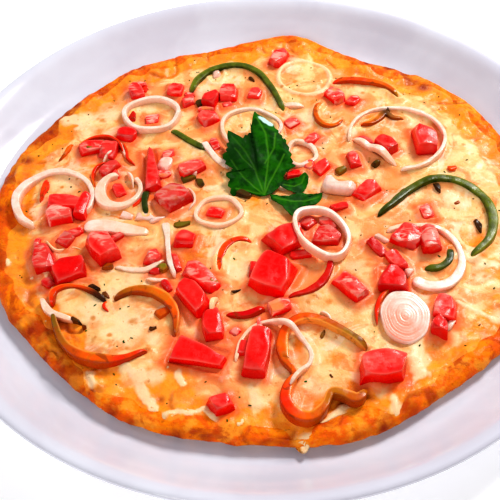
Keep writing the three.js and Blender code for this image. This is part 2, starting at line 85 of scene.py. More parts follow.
def grain(points, size, seed=0.0):
    """Smooth noise from -1 to 1 at many points, with bumps about as large as size"""
    points = np.asarray(points, float)
    if points.shape[1] == 2:
        points = np.column_stack((points, np.zeros(len(points))))
    cell = points / size + SEED_STEP * (seed + 1)
    low = np.floor(cell)
    part = cell - low
    part = part * part * (3 - 2 * part)
    total = np.zeros(len(points))
    for corner in itertools.product((0, 1), repeat=3):
        value = np.sin((low + corner) @ SCRAMBLE_XYZ) * SCRAMBLE
        share = np.prod(np.where(corner, part, 1 - part), axis=1)
        total += share * (2 * (value - np.floor(value)) - 1)
    return total


def lumps(points, size, seed=0.0, octaves=3):
    """Noise with finer noise on it"""
    total = 0
    for octave in range(octaves):
        total = total + grain(points, size / 2 ** octave, seed + 3.7 * octave) / 2 ** octave
    return total / 1.6


def chance(*inputs):
    """A number from -1 to 1 that depends on its inputs alone"""
    total = sum(value * (SCRAMBLE_FIRST + SCRAMBLE_STEP * i) for i, value in enumerate(inputs))
    long = np.sin(total) * SCRAMBLE
    return 2 * (long - np.floor(long)) - 1


def turned(x, y, angle):
    """Places turned about the origin by an angle in radians"""
    return x * math.cos(angle) - y * math.sin(angle), x * math.sin(angle) + y * math.cos(angle)


def turn_between(a, b):
    return np.arctan2(np.sin(a - b), np.cos(a - b))


def sines(angle, table):
    """Sum of waves round a circle, each (size, count, phase in radians)"""
    return sum(size * np.sin(count * angle + phase) for size, count, phase in table)


def along_circle(angle, bumps):
    """Sum of bumps round a circle, each (size, angle in degrees, width in degrees)"""
    return sum(size * bell(turn_between(angle, math.radians(middle)), math.radians(width))
               for size, middle, width in bumps)


# Outline and heights of the pizza

# Waves of the outline: size, count and phase in degrees; its bulges: size, angle and width
OUTLINE_WAVES = ((2.0, 2, 0), (1.0, 4, -7), (0.6, 7, -157), (1.1, 9, 25))
OUTLINE_BULGES = ((5.5, 82, 8), (-4.0, 62, 8))
CHEESE_INSET = 6.5
# Waves of the cheese's edge and of the rim's height: size, count and phase in radians
CHEESE_WAVES = ((1.32, 11, 0.6), (0.96, 17, 2.1), (0.9, 37, 1.0), (0.6, 61, 0.0))
RIM_WAVES = ((0.8, 13, 0.4), (0.6, 23, 1.9))


def crust_radius(angle):
    waves = sum(size * np.cos(count * angle - math.radians(phase)) for size, count, phase in OUTLINE_WAVES)
    return PIZZA_RADIUS + waves + along_circle(angle, OUTLINE_BULGES)


# Where cheese ran down over the rim, and where the rim stays bare
CHEESE_RUNS = (
    (4.5, -110.5, 2.2), (6.0, -101, 1.8), (7.5, -85.5, 1.8), (5.0, -68, 1.8), (3.5, -128, 3.0),
    (3.0, 146, 5.0), (3.0, 160, 3.0), (-3.0, -148, 9), (-3.0, 178, 8), (-3.0, -76, 5), (-3.0, -104, 4),
)


def cheese_radius(angle):
    return crust_radius(angle) - CHEESE_INSET + sines(angle, CHEESE_WAVES) + along_circle(angle, CHEESE_RUNS)


def cheese_top(x, y):
    return (CHEESE_TOP + 0.45 * np.sin(x / 13 + 0.6) * np.cos(y / 15 - 0.4)
            + 0.3 * np.sin((x + y) / 8.5 + 2) + 0.25 * np.cos((x - 1.7 * y) / 10.5))


def polar(x, y):
    x, y = x - PIZZA_CENTRE[0], y - PIZZA_CENTRE[1]
    return np.hypot(x, y), np.arctan2(y, x)


RIM_CREST = 128
# Radius and height of the dough's upper side, before its blisters
RIM_PROFILE = np.array((
    (0, DOUGH_TOP), (112, DOUGH_TOP), (119, 12.6), (124, 13.8), (RIM_CREST, RIM_TOP), (131, 14.3),
    (133.3, 12.9), (PIZZA_RADIUS, 10.6),
))


# Darkest spots of the rim: x, y and reach
SCORCHED = (
    (-100, 82, 3), (-96, 91, 3), (-111, 62, 4), (-101, -84, 5), (-92, -96, 5), (-68, -113, 3),
    (-60, -119, 3), (46, -127, 4), (75, 106, 4), (92, 88, 4), (63, 110, 2.5), (-85, -103, 3),
    (-107, -70, 3), (-131, -20, 4), (-133, 5, 4), (118, -60, 4), (104, -85, 3), (-47, -108, 2),
    (128, 40, 4), (134, 10, 4), (-40, -126, 3), (-122, 40, 4),
)


def patches(x, y, table):
    """The strongest of many round patches, each x, y, reach and, if given, strength"""
    total = np.zeros_like(x)
    for px, py, reach, *strength in table:
        total = np.maximum(total, (strength or [1])[0] * bell(np.hypot(x - px, y - py), reach))
    return total


def creases(x, y):
    """Where the lumps of the rim meet"""
    points = np.column_stack((x, y))
    return bell(lumps(points, 17, 9.0, 2), 0.07) * ramp(grain(points, 9, 10.0), -0.3, 0.3)


def crust_top(x, y):
    """Height of the dough's upper side: a rim with blisters, folds and creases"""
    radius, angle = polar(x, y)
    across = radius * PIZZA_RADIUS / crust_radius(angle)
    height = np.interp(across, *RIM_PROFILE.T) + bell(across - RIM_CREST, 7) * sines(angle, RIM_WAVES)
    points = np.column_stack((x, y))
    share = ramp(across, 106, 118) * ramp(across, PIZZA_RADIUS, 131.5)
    blisters = np.maximum(lumps(points, 9, 2.0), 0) * 1.7 + lumps(points, 4, 5.0) * 0.4
    folds = 0.7 * np.abs(grain(np.column_stack((angle * 60, across / 2.2)), 4, 8.0))
    return height + share * (blisters - folds - 0.9 * creases(x, y))


# Toppings: places and sizes

# Cut pieces of tomato: x, y, length, width, height, turn and taper, then how much of the
# upper side is cut flesh (0 is skin) and how dark it is
TOMATOES = {
    "tomato_far_left": [(-67, 89.5, 14, 9, 4.5, 105, 0.3, 0.5, 0.1)],
    "tomato_far_pair": [(-25.5, 79.5, 14, 8.5, 6.5, 75, 0.15, 0.2, 0.3),
                        (-16, 84, 12, 11.5, 6.5, 88, 0.15, 0.4, 0)],
    "tomato_far_corner": [(13, 114.5, 15, 9.5, 5, 62, 0.15, 0.5, 0)],
    "tomato_left_slice": [(-88, 45, 15, 10, 5, 20, 0.3, 0.6, 0.2),
                          (-79, 42.5, 13, 11, 5.5, 70, 0.15, 0.4, 0.3)],
    "tomato_left_curl": [(-77.5, 28.5, 13, 7, 4.5, 48, 0.15, 0.6, 0.4)],
    "tomato_long_skin": [(-56, 26.5, 33, 9.5, 7, 97, 0.65, 0.35, 0.3)],
    "tomato_round": [(-44.5, 5.5, 16.5, 15.5, 7.5, 40, 0.1, 0.9, 0.5)],
    "tomato_in_ring": [(-98, 5, 20, 9.5, 5.5, -4, 0.15, 0.3, 0), (-100, -4, 15, 11, 7, 8, 0.2, 0.6, 0),
                       (-89, 2, 17, 7, 6.5, 78, 0.3, 0.1, 0)],
    "tomato_left_wet": [(-105.5, -30, 17, 12, 5, 105, 0.2, 0.6, 0.4)],
    "tomato_left_skin": [(-92.5, -38.5, 17, 15, 6.5, 20, 0.1, 0, 0.3)],
    "tomato_cube": [(-77, -26, 18, 13, 7.5, -62, 0.1, 0.5, 0)],
    "tomato_seeded": [(-30, -46, 23, 10, 5.5, -46, 0.2, 0.5, 0)],
    "tomato_long_wedge": [(-33.5, -58, 23, 11.5, 7.5, -60, 0.1, 0.1, 0),
                          (-25, -73.5, 17, 10, 6.5, -80, 0.1, 0.1, 0.1)],
    "tomato_flat_skin": [(-31.5, -88.5, 29, 16, 5, -20, 0.65, 0.05, 0)],
    "tomato_near_strip": [(-5.5, -89, 27, 11.5, 6.5, 78, 0.1, 0.1, 0.1)],
    "tomato_slab": [(38.5, -54.5, 18.5, 10.5, 5.5, -52, 0.1, 0.6, 0)],
    "tomato_big_skin": [(3.5, -46, 24, 20, 8.5, 62, 0.1, 0, 0)],
    "tomato_wedge": [(10, -24.5, 20, 16, 7, 25, 0.2, 0.25, 0.1)],
    "tomato_under_ring": [(30, -23, 15, 12, 4.5, -10, 0.2, 0.5, 0.5)],
    "tomato_near_block": [(48.5, -99, 22, 15, 8, -4, 0.2, 0.3, 0)],
    "tomato_dark_leg": [(58.5, -51, 17, 16, 5.5, 84, 0.45, 0.1, 0.4),
                        (61, -39.5, 13, 8, 5, -66, 0.15, 0.3, 0.2)],
    "tomato_group": [(68, -25.5, 14, 14, 5.5, 60, 0.1, 0.7, 0.3),
                     (78, -27.5, 16, 10.5, 6.5, 95, 0.1, 0.6, 0.2)],
    "tomato_pair": [(79.5, -68.5, 14, 11.5, 5.5, 72, 0.1, 0.4, 0),
                    (75, -78.5, 9.5, 8, 6, 80, 0.15, 0.2, 0.2)],
    "tomato_tall_block": [(85.5, 41.5, 21.5, 12.5, 8.5, 94, 0.1, 0.25, 0)],
    "tomato_right_wedge": [(65.5, 38, 13, 10, 6, -55, 0.2, 0.3, 0.2)],
    "tomato_right_dice": [(52, 6, 16, 9, 5.5, 42, 0.1, 0.3, 0)],
    "tomato_pale": [(42, 79.5, 13.5, 9, 5, -52, 0.1, 1.0, 0)],
}
TOMATO_BITS = [
    (-45, 88.5, 10, 10, 4, 80, 0.15, 0.4, 0.1), (-38, 79.5, 8, 8, 3.5, 20, 0.15, 0.6, 0.2),
    (-1.5, 83.5, 9, 8, 4, 75, 0.15, 0.4, 0), (-57.5, 66.8, 9, 8, 3, 5, 0.15, 0.7, 0),
    (-70.5, 54.5, 11, 9, 4.5, -20, 0.15, 0.1, 0.2), (-47.5, 38, 8, 6, 3, 20, 0.15, 0.6, 0),
    (-53, -31.5, 9, 9, 4, 70, 0.15, 0.6, 0.1), (51.5, 75.5, 9, 7, 3.5, 50, 0.15, 0.5, 0),
    (17.5, 59.5, 9, 7, 3.5, 40, 0.15, 0.6, 0), (16.5, 20, 9, 5, 3.5, 10, 0.15, 0, 0),
    (31, 24, 12, 8, 4, 45, 0.15, 0.3, 0), (37, -3, 10, 5, 3, 10, 0.15, 0.2, 0.3),
    (80, -8.5, 11, 8, 3.5, 100, 0.15, 0.6, 0), (5, -64, 12, 8, 4, 15, 0.15, 1.2, 0),
    (-21.5, -113.7, 10, 9, 4.5, 25, 0.15, 0.3, 0), (-72, 13, 11, 6, 3, 120, 0.15, 0.4, 0.3),
    (-23, -3.7, 10, 7, 3, -20, 0.15, 0.4, 0.1), (27.5, 46, 12, 6, 3.5, 45, 0.15, 0.5, 0),
    (-96, -19, 9, 9, 3.5, 60, 0.15, 0.6, 0.5), (53, -31, 15, 6.5, 4, -62, 0.15, 0.2, 0.6),
    (47.5, 29, 12, 7, 4, 100, 0.15, 0.4, 0.3), (55.5, 42.5, 12, 6, 3, -50, 0.15, 0.4, 0.6),
    (-38, -22.5, 11, 10, 4.5, -15, 0.25, 0.3, 0.2), (-27, 64.5, 12, 11, 4.5, 30, 0.3, 0.7, 0.1),
    (-35.5, 27.5, 15, 11, 4.5, 25, 0.25, 0.7, 0.2),
]


# Soft scraps of tomato between the larger pieces, given as the pieces are
TOMATO_SCRAPS = (
    (-42.5, -34.5, 13, 4.5, 3, -70, 0.3, 0.4, 0.2), (-52.5, -39.5, 7, 4, 2, 0, 0.2, 0.4, 0.6),
    (-5.5, -42.5, 9, 6, 4, 80, 0.1, 0.2, 0.4), (17, -33, 12, 6, 3, 10, 0.2, 0.4, 0.3),
    (21, -13.5, 10, 8, 3, 40, 0.2, 0.5, 0.5), (31, -14.5, 12, 6, 3, -50, 0.2, 0.8, 0.3),
    (-14.5, -76, 6, 5, 2, 30, 0.2, 0.9, 0.3), (25, 26, 7, 5, 3, 60, 0.2, 1.1, 0.1),
    (-37.5, 85, 7, 4.5, 3, 20, 0.2, 0.8, 0.2), (-28, 71.5, 10, 6, 3.5, 5, 0.2, 1, 0.2),
    (-50, 24, 8, 6, 3, 20, 0.2, 0.9, 0.1), (-23.5, 44, 10, 5, 3, -70, 0.2, 0.6, 0.4),
    (-75.5, 26.5, 10, 4, 2.5, -60, 0.3, 0.8, 0.2), (-71.5, -17.5, 8, 5, 3, 30, 0.3, 0.5, 0.2),
    (-101.5, -44.5, 7, 6, 2.5, -40, 0.2, 0.4, 0.4), (-109, -20.5, 8, 4, 3, 80, 0.3, 0.9, 0.2),
    (-46.5, -49, 9, 4, 3, -60, 0.2, 0.3, 0.5), (-91.5, -14, 8, 6, 2.5, 30, 0.2, 0.5, 0.4),
    (-4, -74, 9, 3.5, 3.4, 80, 0.4, 0.9, 0), (-12, -85.5, 9, 5, 3.5, 70, 0.3, 0.2, 0.3),
    (-64, 96, 6, 5, 2.4, 20, 0.2, 0.9, 0.1), (-17, 76, 7, 5, 2.4, 20, 0.2, 0.9, 0.2),
)


def arc(x, y, long, wide, start, end):
    """Points every 30 degrees or so along part of an ellipse"""
    steps = math.ceil(abs(end - start) / 30)
    angles = np.radians(np.linspace(start, end, steps + 1))
    return [(x + long * math.cos(a), y + wide * math.sin(a)) for a in angles]


# Strips: width, height above the cheese, and the points that they follow
GREEN_PEPPERS = {
    "pepper_green_far": (3.6, 3.2, [*arc(-15, 84, 22, 25, 172, 18), (10.5, 80), (13.5, 70.5)]),
    "pepper_green_stick": (3.4, 2.6, [(-47, 57), (-35, 46), (-28, 41.5)]),
    "pepper_green_right": (3.8, 3.6, [(56, -9), (62, -4.5), (68, 1.5), *arc(88, -13, 23, 25.5, 125, -58),
                                      (96.5, -37.5)]),
    "pepper_green_dark": (3, 3.4, [(-57.5, 12), (-58.5, 4), (-57.5, -4)]),
    "pepper_green_hook": (3.4, 3, [(74, -43.5), (80, -44), (85.5, -40), (87.5, -32.5)]),
}
ORANGE_PEPPERS = {
    "pepper_orange_upper": (4.4, 3.6, arc(-59, -71.5, 18, 20, 128, -14)),
    "pepper_orange_lower": (3.8, 4, arc(-70, -60, 27.5, 31, 186, 306)),
    "pepper_orange_curl": (3, 2.8, [(-98.5, -57), (-98, -51), (-93, -48), (-85.5, -49), (-79, -52),
                                    (-74, -56.5)]),
    "pepper_lobed": (4, 4.6, [
        (42, -88.5), (36.5, -83), (30, -78), (22.5, -73), (14, -72.5), (8, -77), (5.5, -85), (6.5, -94),
        (10.5, -101), (7, -107.5), (5.5, -114.5), (9.5, -121), (16, -122.5), (21.5, -117.5), (25, -110.5),
        (30, -111.5), (35.5, -114), (40, -109.5)]),
    "pepper_red_arc": (3.6, 2.4, arc(-11, -38, 11, 16.5, 190, 65)),
    "pepper_red_strip": (3.2, 3.6, [(9.5, -58.5), (18, -56), (25, -51), (29.5, -43), (30, -35.5)]),
    "pepper_orange_far": (3.8, 3, [(42, 92), (50, 93), (60, 92), (69, 88), (76.5, 78)]),
    "pepper_brown_curl": (2.8, 2.6, arc(38, 66, 7.5, 11, 120, 330)),
    "pepper_brown_wave": (3, 3, [(54, 56.5), (59, 56.5), (64, 60), (68, 64), (71.5, 60.5), (77.5, 60)]),
}
# Colour along each strip: 0 is olive, 0.3 brown, 0.6 orange and 1 red
PEPPER_TINT = {
    "pepper_orange_upper": (0.15, 0.35, 0.5, 0.55, 0.35),
    "pepper_orange_lower": (0.05, 0.1, 0.3, 0.6, 0.8, 0.7),
    "pepper_orange_curl": (0.75, 0.7, 0.6, 0.3),
    "pepper_lobed": (0.15, 0.1, 0.15, 0.3, 0.5, 0.6, 0.65, 0.5, 0.4, 0.5, 0.7, 0.78, 0.6, 0.35, 0.2,
                     0.2, 0.25, 0.3),
    "pepper_red_arc": (0.7, 0.76, 0.74),
    "pepper_red_strip": (1, 1),
    "pepper_orange_far": (0.75, 0.65, 0.5, 0.1),
    "pepper_brown_curl": (0.35, 0.3, 0.6),
    "pepper_brown_wave": (0.5, 0.3, 0.2, 0.4),
}
PEPPER_BURNT = {
    "pepper_orange_curl": (0, 0, 0, 0.1, 0.9, 1), "pepper_brown_wave": (0, 0.2, 0, 0.9, 0.3, 0),
    "pepper_orange_upper": (0.4, 0.2, 0, 0, 0.1, 0.3),
    "pepper_orange_lower": (0.5, 0.3, 0.1, 0, 0, 0.1),
    "pepper_lobed": (0.3, 0.1, 0, 0, 0, 0, 0, 0, 0, 0, 0, 0, 0.1),
}
GREEN_DARK = {
    "pepper_green_far": (0, 0, 0.15, 0.1, 0.3, 0.1), "pepper_green_stick": (0, 0.2, 0.6),
    "pepper_green_right": (0.7, 0.5, 0.4, 0.15, 0, 0, 0.1, 0), "pepper_green_dark": (0.9, 0.8),
    "pepper_green_hook": (0.3, 0.4, 0.8, 0.6),
}
# Width along each strip, as a share of its own
SWELL = {
    "onion_ring_left": (0.7, 0.8, 0.9, 1.2, 1.35, 1.5, 1.4, 0.7),
    "onion_arc": (1.5, 1.7, 1.4, 1.0, 0.8, 0.8, 0.8, 0.7),
    "onion_twist": (0.7, 1.1, 1.8, 1.8, 1.1, 0.7, 0.6, 0.6),
    "onion_fork": (1.2, 0.75, 0.9, 1.3),
    "onion_stalk": (1.3, 1.0, 0.8, 1.0, 0.5),
    "onion_band": (1.15, 1.25, 1.0, 0.5),
    "pepper_orange_lower": (0.4, 0.8, 1.0, 1.3, 1.4, 1.0, 0.4),
    "pepper_orange_upper": (0.4, 0.8, 1.2, 1.3, 1.1, 0.8, 0.4),
    "pepper_lobed": (1.0, 0.9, 0.8, 0.9, 1.1, 1.0, 1.3, 1.4, 0.7, 0.6, 1.1, 1.5, 1.5, 1.2, 0.9,
                     1.1, 1.3, 0.7),
    "pepper_green_right": (0.6, 0.9, 1, 1, 1.1, 1.1, 1.2, 1.0, 0.8),
    "pepper_green_far": (0.8, 1.1, 1.0, 1.0, 0.9, 0.8),
    "pepper_red_arc": (0.7, 1.1, 1, 0.5),
    "pepper_red_strip": (0.6, 1.1, 1.2, 0.8),
    "pepper_orange_far": (1.0, 1.0, 1.1, 0.9, 0.6),
    "pepper_orange_curl": (1.2, 1.1, 0.7, 0.8, 0.6),
    "pepper_brown_curl": (0.6, 1, 1, 0.7),
    "pepper_brown_wave": (0.6, 1, 1.2, 1, 0.6),
}
ONION_RINGS = {
    "onion_ring_far": ((-57.5, 69), (16, 14), 0, 3, 3.6, 0.6, (0, 0)),
    "onion_ring_back": ((-4.5, 57), (17, 15), 0, 2.6, 3, 0, (0, 0)),
    "onion_ring_small": ((-22, -3.5), (12.5, 11), 0, 2.8, 3, 0, (0, 0)),
    "onion_ring_front": ((27.5, -22.5), (17, 13), -62, 2.8, 3, 4.2, (-0.13, 0.02)),
    "onion_ring_leaf": ((21, 35.5), (9, 10.5), 0, 3, 2.8, 0, (0, 0)),
}
ONION_STRIPS = {
    "onion_ring_left": (2.8, 3.2, arc(-104, 8.5, 19, 19.5, -42, 244), ()),
    "onion_twist": (3.2, 3.6, arc(-71, 12.5, 10.2, 11.5, 100, 410), ()),
    "onion_ring_right": (1.8, 3.2, arc(71.5, 44.5, 25, 23.5, -92, 182), ((94, 38, 12, 2.5),)),
    "onion_arc": (3.2, 3.2, [*arc(77, -37, 15, 18, -130, 84), (68, -18.5), (59, -20.5)], ()),
    "onion_band": (6.5, 2.4, [(-87.5, -10.5), (-76, -11), (-65, -13.5), (-56, -15)], ()),
    "onion_stalk": (3.2, 2.8, [(-48, -9.5), (-46.8, -18.5), (-46.2, -27.5), (-45, -36),
                               (-42.5, -43.5)], ()),
    "onion_fork": (4, 2.8, [(-29.5, 47), (-26, 39.5), (-22, 32), (-16.5, 27)], ()),
    "onion_thread": (1.8, 2, [
        (-15, -92.5), (-12.5, -82), (-7, -75), (0, -73), (7.5, -76), (13, -81), (17.5, -88.5), (17, -95),
        (12.5, -101), (7.5, -107.5)], ((8.5, -77, 7, 5.4), (9.5, -104, 8.5, 5.4))),
}
# Strips fused to the cheese in the solids: kind, width, height, line and what they lie over
BAKED_STRIPS = (
    ("pepper", 3.6, 2.4, [(-19, -66.5), (-10, -67), (-1.5, -64)], ()),
    ("onion", 2.6, 2, [(-71, -36), (-64, -38.5), (-56, -38.5), (-48, -33)], ()),
    ("onion", 3.4, 2, [(-104, -54), (-99, -61.5), (-88, -66.5)], ()),
    ("onion", 3.6, 2, [(49, 46), (56, 38), (62, 32), (69, 25)], ((54, 41, 5, 2.2), (62, 33, 7, 4.4))),
)
# Small bits in and on the cheese: x, y, length, width, height, turn, tint and burnt share
BITS = (
    (-3, 97.5, 6, 2.2, 1.8, -35, 0.1, 0.9), (87.3, 8, 2.6, 8.5, 2.4, 25, 0.1, 0.95),
    (103.5, -18, 2.6, 10.5, 2.2, 14, 0.1, 0.95), (-80, -49, 7, 3.2, 3, -20, 0.2, 0.9),
    (-74, -53, 7, 2.8, 2.2, -50, 0.25, 0.75), (-86.5, -66.8, 6, 2.4, 2, -35, 0.2, 0.85),
    (-82.8, -70.3, 2.6, 1.8, 1, 10, 0.3, 0.7), (-51.8, -72.8, 4, 3, 1.8, 10, 0.2, 0.85),
    (-14, -53, 5, 1.8, 1.5, 15, 0.2, 0.85), (69.5, 66, 2.2, 5, 4, 10, 0.2, 0.9),
    (104.5, -0.5, 1.8, 1.6, 1, 0, 0.2, 0.9), (96, -2, 3.2, 2.4, 1, 20, 0.5, 0.5),
    (-31, 78, 6.5, 7, 3.4, 20, 0.05, 0.85), (-9, 8, 8, 6, 2.4, -30, 0.0, 0.85),
    (59, 27, 4.5, 3.8, 3.2, 30, 0.0, 0.75), (-37, 20.5, 9, 4.4, 2.6, 10, 0.0, 0.45),
    (-31, 18, 4, 8, 2.2, 25, 0.0, 0.7), (-40, -10, 10, 5, 2, 15, 0.0, 0.35),
    (40.5, 22.5, 6.5, 6, 2.8, 30, 0.05, 0.35), (-48, -38, 5, 6, 3.2, 40, 0.0, 0.0),
    (-24, -50, 4.5, 5, 6.2, 0, 0.05, 0.0), (-88.5, 43, 6, 3.4, 6.2, 10, 0.05, 0.0),
    (-47, -64.5, 9, 5.5, 2.4, 20, 0.5, 0.25), (24, -78.5, 5.5, 2.4, 1.2, 60, 0.15, 0.5),
    (15, -97, 3, 2.6, 1.4, 60, 0.2, 0.6), (97, 21.5, 4.4, 4, 2.2, 0, 0.62, 0.0),
    (-109.8, 17, 3.4, 18, 3, -5, 0.75, 0.0), (-101, 43.5, 2, 17, 2, -25, 0.4, 0.0),
    (25.8, -101, 2, 1.8, 1, -30, 0.2, 0.6), (-62.5, 91, 6, 5, 2.6, 60, 0.85, 0.0),
    (-67.8, 69.5, 7.5, 4, 2.6, 80, 1.0, 0.1), (70, 6.5, 5, 4, 2.6, 50, 0.0, 0.9),
    (-74, -36, 6, 4, 2.4, -20, 0.25, 0.4), (-21, -52, 3, 3, 2, 20, 0.1, 0.4),
    (57, -35, 4, 5, 2, 20, 0.05, 0.85),
)
# Thin threads: kind, width, height, line and what they lie over
THREADS = (
    ("cheese", 0.8, 0.4, [(-105.5, -20), (-100, -26), (-92, -23), (-87, -25)], ((-104, -24, 7, 3.5),)),
    ("cheese", 2.2, 1.0, [(-25.5, -69), (-24.5, -63), (-22.5, -58)], ((-24.5, -64, 6, 6.4),)),
    ("onion", 3.6, 2.0, [(12.5, 73.5), (18, 74.5), (25, 73.5)], ()),
    ("onion", 1.8, 1.6, [(-73.5, 51), (-72, 44), (-70, 38)], ()),
    ("onion", 1.3, 1.4, [(-76, 41), (-80, 36), (-81.5, 33)], ((-79, 40, 6, 4),)),
    ("onion", 1.3, 1.4, [(-69, 26), (-66, 21), (-65, 15)], ((-68, 20, 6, 3),)),
    ("onion", 1.2, 2.6, [(23.5, -67), (27, -70.5), (27.5, -74)], ()),
    ("onion", 3.0, 2.2, [(78.5, -80), (80.5, -76.5), (83, -74)], ()),
    ("onion", 2.0, 1.4, [(-56, -43.5), (-50, -45), (-46, -44)], ()),
    ("onion", 1.4, 2.4, [(-38, 14.5), (-34.5, 9.5), (-34, 4), (-37, -0.5)], ()),
    ("pepper", 2.0, 3.6, [(-95, 46), (-89, 51.5), (-81, 53), (-74.5, 48.5), (-71.5, 41.5)], ()),
    ("pepper", 2.0, 2.6, [(-84, 16), (-85.5, 23), (-84, 30), (-79, 34)], ()),
    ("pepper", 2.6, 2.0, [(-58, 8), (-62, 3.5), (-66, -0.5)], ()),
    ("pepper", 1.8, 1.8, [(-72, 50), (-70, 43), (-69, 37), (-65, 32.5)], ()),
    ("pepper", 1.6, 1.4, [(-73.5, -55.5), (-75, -59), (-72.5, -61.5)], ()),
    ("pepper", 2.6, 2.6, [(56, -56), (51, -61.5), (48.6, -67.5), (48.3, -74.5)], ()),
)
# Pale bits: x, y, length, width, height, turn and taper
PALE_BITS = (
    (-49.5, 30.5, 9.5, 8, 4, 70, 0.2), (-67, -3.5, 9, 5.5, 1.8, -20, 0.5),
    (-58.5, -5, 11, 6.5, 1.8, -15, 0.5), (-51.5, -7, 8, 4, 2.2, 20, 0.5), (-34, 24, 3, 6, 3, 10, 0.3),
    (68.5, 3, 4, 3, 3, 40, 0.3), (-22.8, 105, 4.5, 11, 1.8, 8, 0.3), (66, -46, 5, 5, 2.8, 30, 0.2),
    (56, -25, 9, 4, 2.6, -35, 0.3),
)
ONION_SLICE = ((61, -72), (11, 13.5), 3.2, (-0.03, 0.09))
ONION_HEART = [(38.3, 10.4, 18.5, 12.5, 6, -22, 0.25)]


# Building blocks

STRIP_GAP = 1.3
RING_STEPS = (72, 5, 5)


def started(*names):
    """An empty bmesh with a layer of numbers for each name"""
    bm = bmesh.new()
    for name in names:
        bm.verts.layers.float.new(name)
    return bm


def paint(bm, verts, values):
    for name, numbers in values.items():
        layer = bm.verts.layers.float[name]
        for vert, number in zip(verts, numbers):
            vert[layer] = number


def move(verts, *columns):
    """Puts points at new places, given as columns of x, y and z"""
    for vert, *place in zip(verts, *columns):
        vert.co = place


def block(bm, steps, rule, closed=False):
    """Adds a cube from -1 to 1, cut into steps along X, Y and Z, and moves its points by a
    rule for arrays of u, v and t. The rule also gives named values for each point. With
    closed, the two ends along X are opened and joined."""
    part = started(*[layer.name for layer in bm.verts.layers.float.values()])
    bmesh.ops.create_cube(part, size=2)
    for axis, count in enumerate(steps):
        long = [e for e in part.edges if abs(e.verts[0].co[axis] - e.verts[1].co[axis]) > 1]
        bmesh.ops.subdivide_edges(part, edges=long, cuts=count - 1, use_grid_fill=True)
    ends = [f for f in part.faces if all(abs(v.co.x) > 0.999 for v in f.verts)]
    places, values = rule(np.array([v.co for v in part.verts]))
    move(part.verts, *places.T)
    paint(part, part.verts, values)
    if closed:
        bmesh.ops.delete(part, geom=ends, context="FACES")
        bmesh.ops.remove_doubles(part, verts=part.verts, dist=0.02)
    mesh = bpy.data.meshes.new("part")
    part.to_mesh(mesh)
    part.free()
    bm.from_mesh(mesh)
    bpy.data.meshes.remove(mesh)


def lathe(bm, profile, steps, merge=0.001):
    """Spins a line of (radius, height) that starts and ends on the axis into a closed body"""
    verts = [bm.verts.new((radius, 0, height)) for radius, height in profile]
    edges = [bm.edges.new(pair) for pair in zip(verts, verts[1:])]
    bmesh.ops.spin(bm, geom=verts + edges, cent=(0, 0, 0), axis=(0, 0, 1), angle=math.tau, steps=steps,
                   use_merge=True)
    bmesh.ops.remove_doubles(bm, verts=bm.verts, dist=merge)
    bmesh.ops.recalc_face_normals(bm, faces=bm.faces)


def disc(bm, cuts):
    """Adds a grid, to be drawn out to a round one. Gives its points, the share of the radius
    at which each one lies, and its angle."""
    old = set(bm.verts)
    bmesh.ops.create_grid(bm, x_segments=cuts, y_segments=cuts, size=1)
    fresh = [v for v in bm.verts if v not in old]
    at = np.array([v.co for v in fresh])
    x, y = at[:, 0] * np.sqrt(1 - at[:, 1] ** 2 / 2), at[:, 1] * np.sqrt(1 - at[:, 0] ** 2 / 2)
    return fresh, np.hypot(x, y), np.arctan2(y, x)


def finish(bm, name, finish_of, slot, nodes=(), levels=0):
    """Turns a bmesh in millimetres into a piece that rides on the part"""
    bmesh.ops.scale(bm, vec=(MM, MM, MM), verts=bm.verts)
    mesh = bpy.data.meshes.new(name)
    bm.to_mesh(mesh)
    bm.free()
    for polygon in mesh.polygons:
        polygon.use_smooth = True
    mesh.materials.append(finish_of)
    piece = bpy.data.objects.new(name, mesh)
    bpy.context.scene.collection.objects.link(piece)
    if levels:
        rounder = piece.modifiers.new("rounder", "SUBSURF")
        rounder.levels = rounder.render_levels = levels
    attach(piece, "root")
    if nodes:
        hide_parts(*nodes)
    return piece


def rounded(points, half, radius):
    """Points of a box of half sizes, with its edges rounded"""
    core = np.clip(points, -(half - radius), half - radius)
    away = points - core
    length = np.linalg.norm(away, axis=1, keepdims=True)
    return core + away * np.where(length > radius, radius / np.maximum(length, 1e-9), 1)


def spline(points, gap):
    """Evenly spaced points on a centripetal Catmull-Rom curve through the points"""
    knots = np.array(points, float)
    knots = np.vstack((2 * knots[0] - knots[1], knots, 2 * knots[-1] - knots[-2]))
    dense = []
    for a, b, c, d in zip(knots, knots[1:], knots[2:], knots[3:]):
        ta, tb, tc = (np.sqrt(np.linalg.norm(q - p)) for p, q in ((a, b), (b, c), (c, d)))
        m = (b - a) / ta - (c - a) / (ta + tb) + (c - b) / tb
        n = (c - b) / tb - (d - b) / (tb + tc) + (d - c) / tc
        m, n = m * tb, n * tb
        t = np.linspace(0, 1, 24, endpoint=False)[:, None]
        dense.append((2 * t**3 - 3 * t**2 + 1) * b + (t**3 - 2 * t**2 + t) * m
                     + (3 * t**2 - 2 * t**3) * c + (t**3 - t**2) * n)
    dense = np.vstack((*dense, knots[-2:-1]))
    run = np.concatenate(((0,), np.cumsum(np.linalg.norm(np.diff(dense, axis=0), axis=1))))
    count = max(2, round(run[-1] / gap))
    even = np.linspace(0, run[-1], count + 1)
    return np.column_stack([np.interp(even, run, column) for column in dense.T])


def knife_side(number, count, x, y):
    """Direction of one of the flat sides that the knife left: every third is near upright"""
    around = math.tau * (number + 0.4 * chance(x, y, number)) / count
    rise = 0.85 + 0.45 * chance(y, x, number) if number % 3 else 0.12
    return np.array((math.cos(around) * math.cos(rise), math.sin(around) * math.cos(rise), math.sin(rise)))


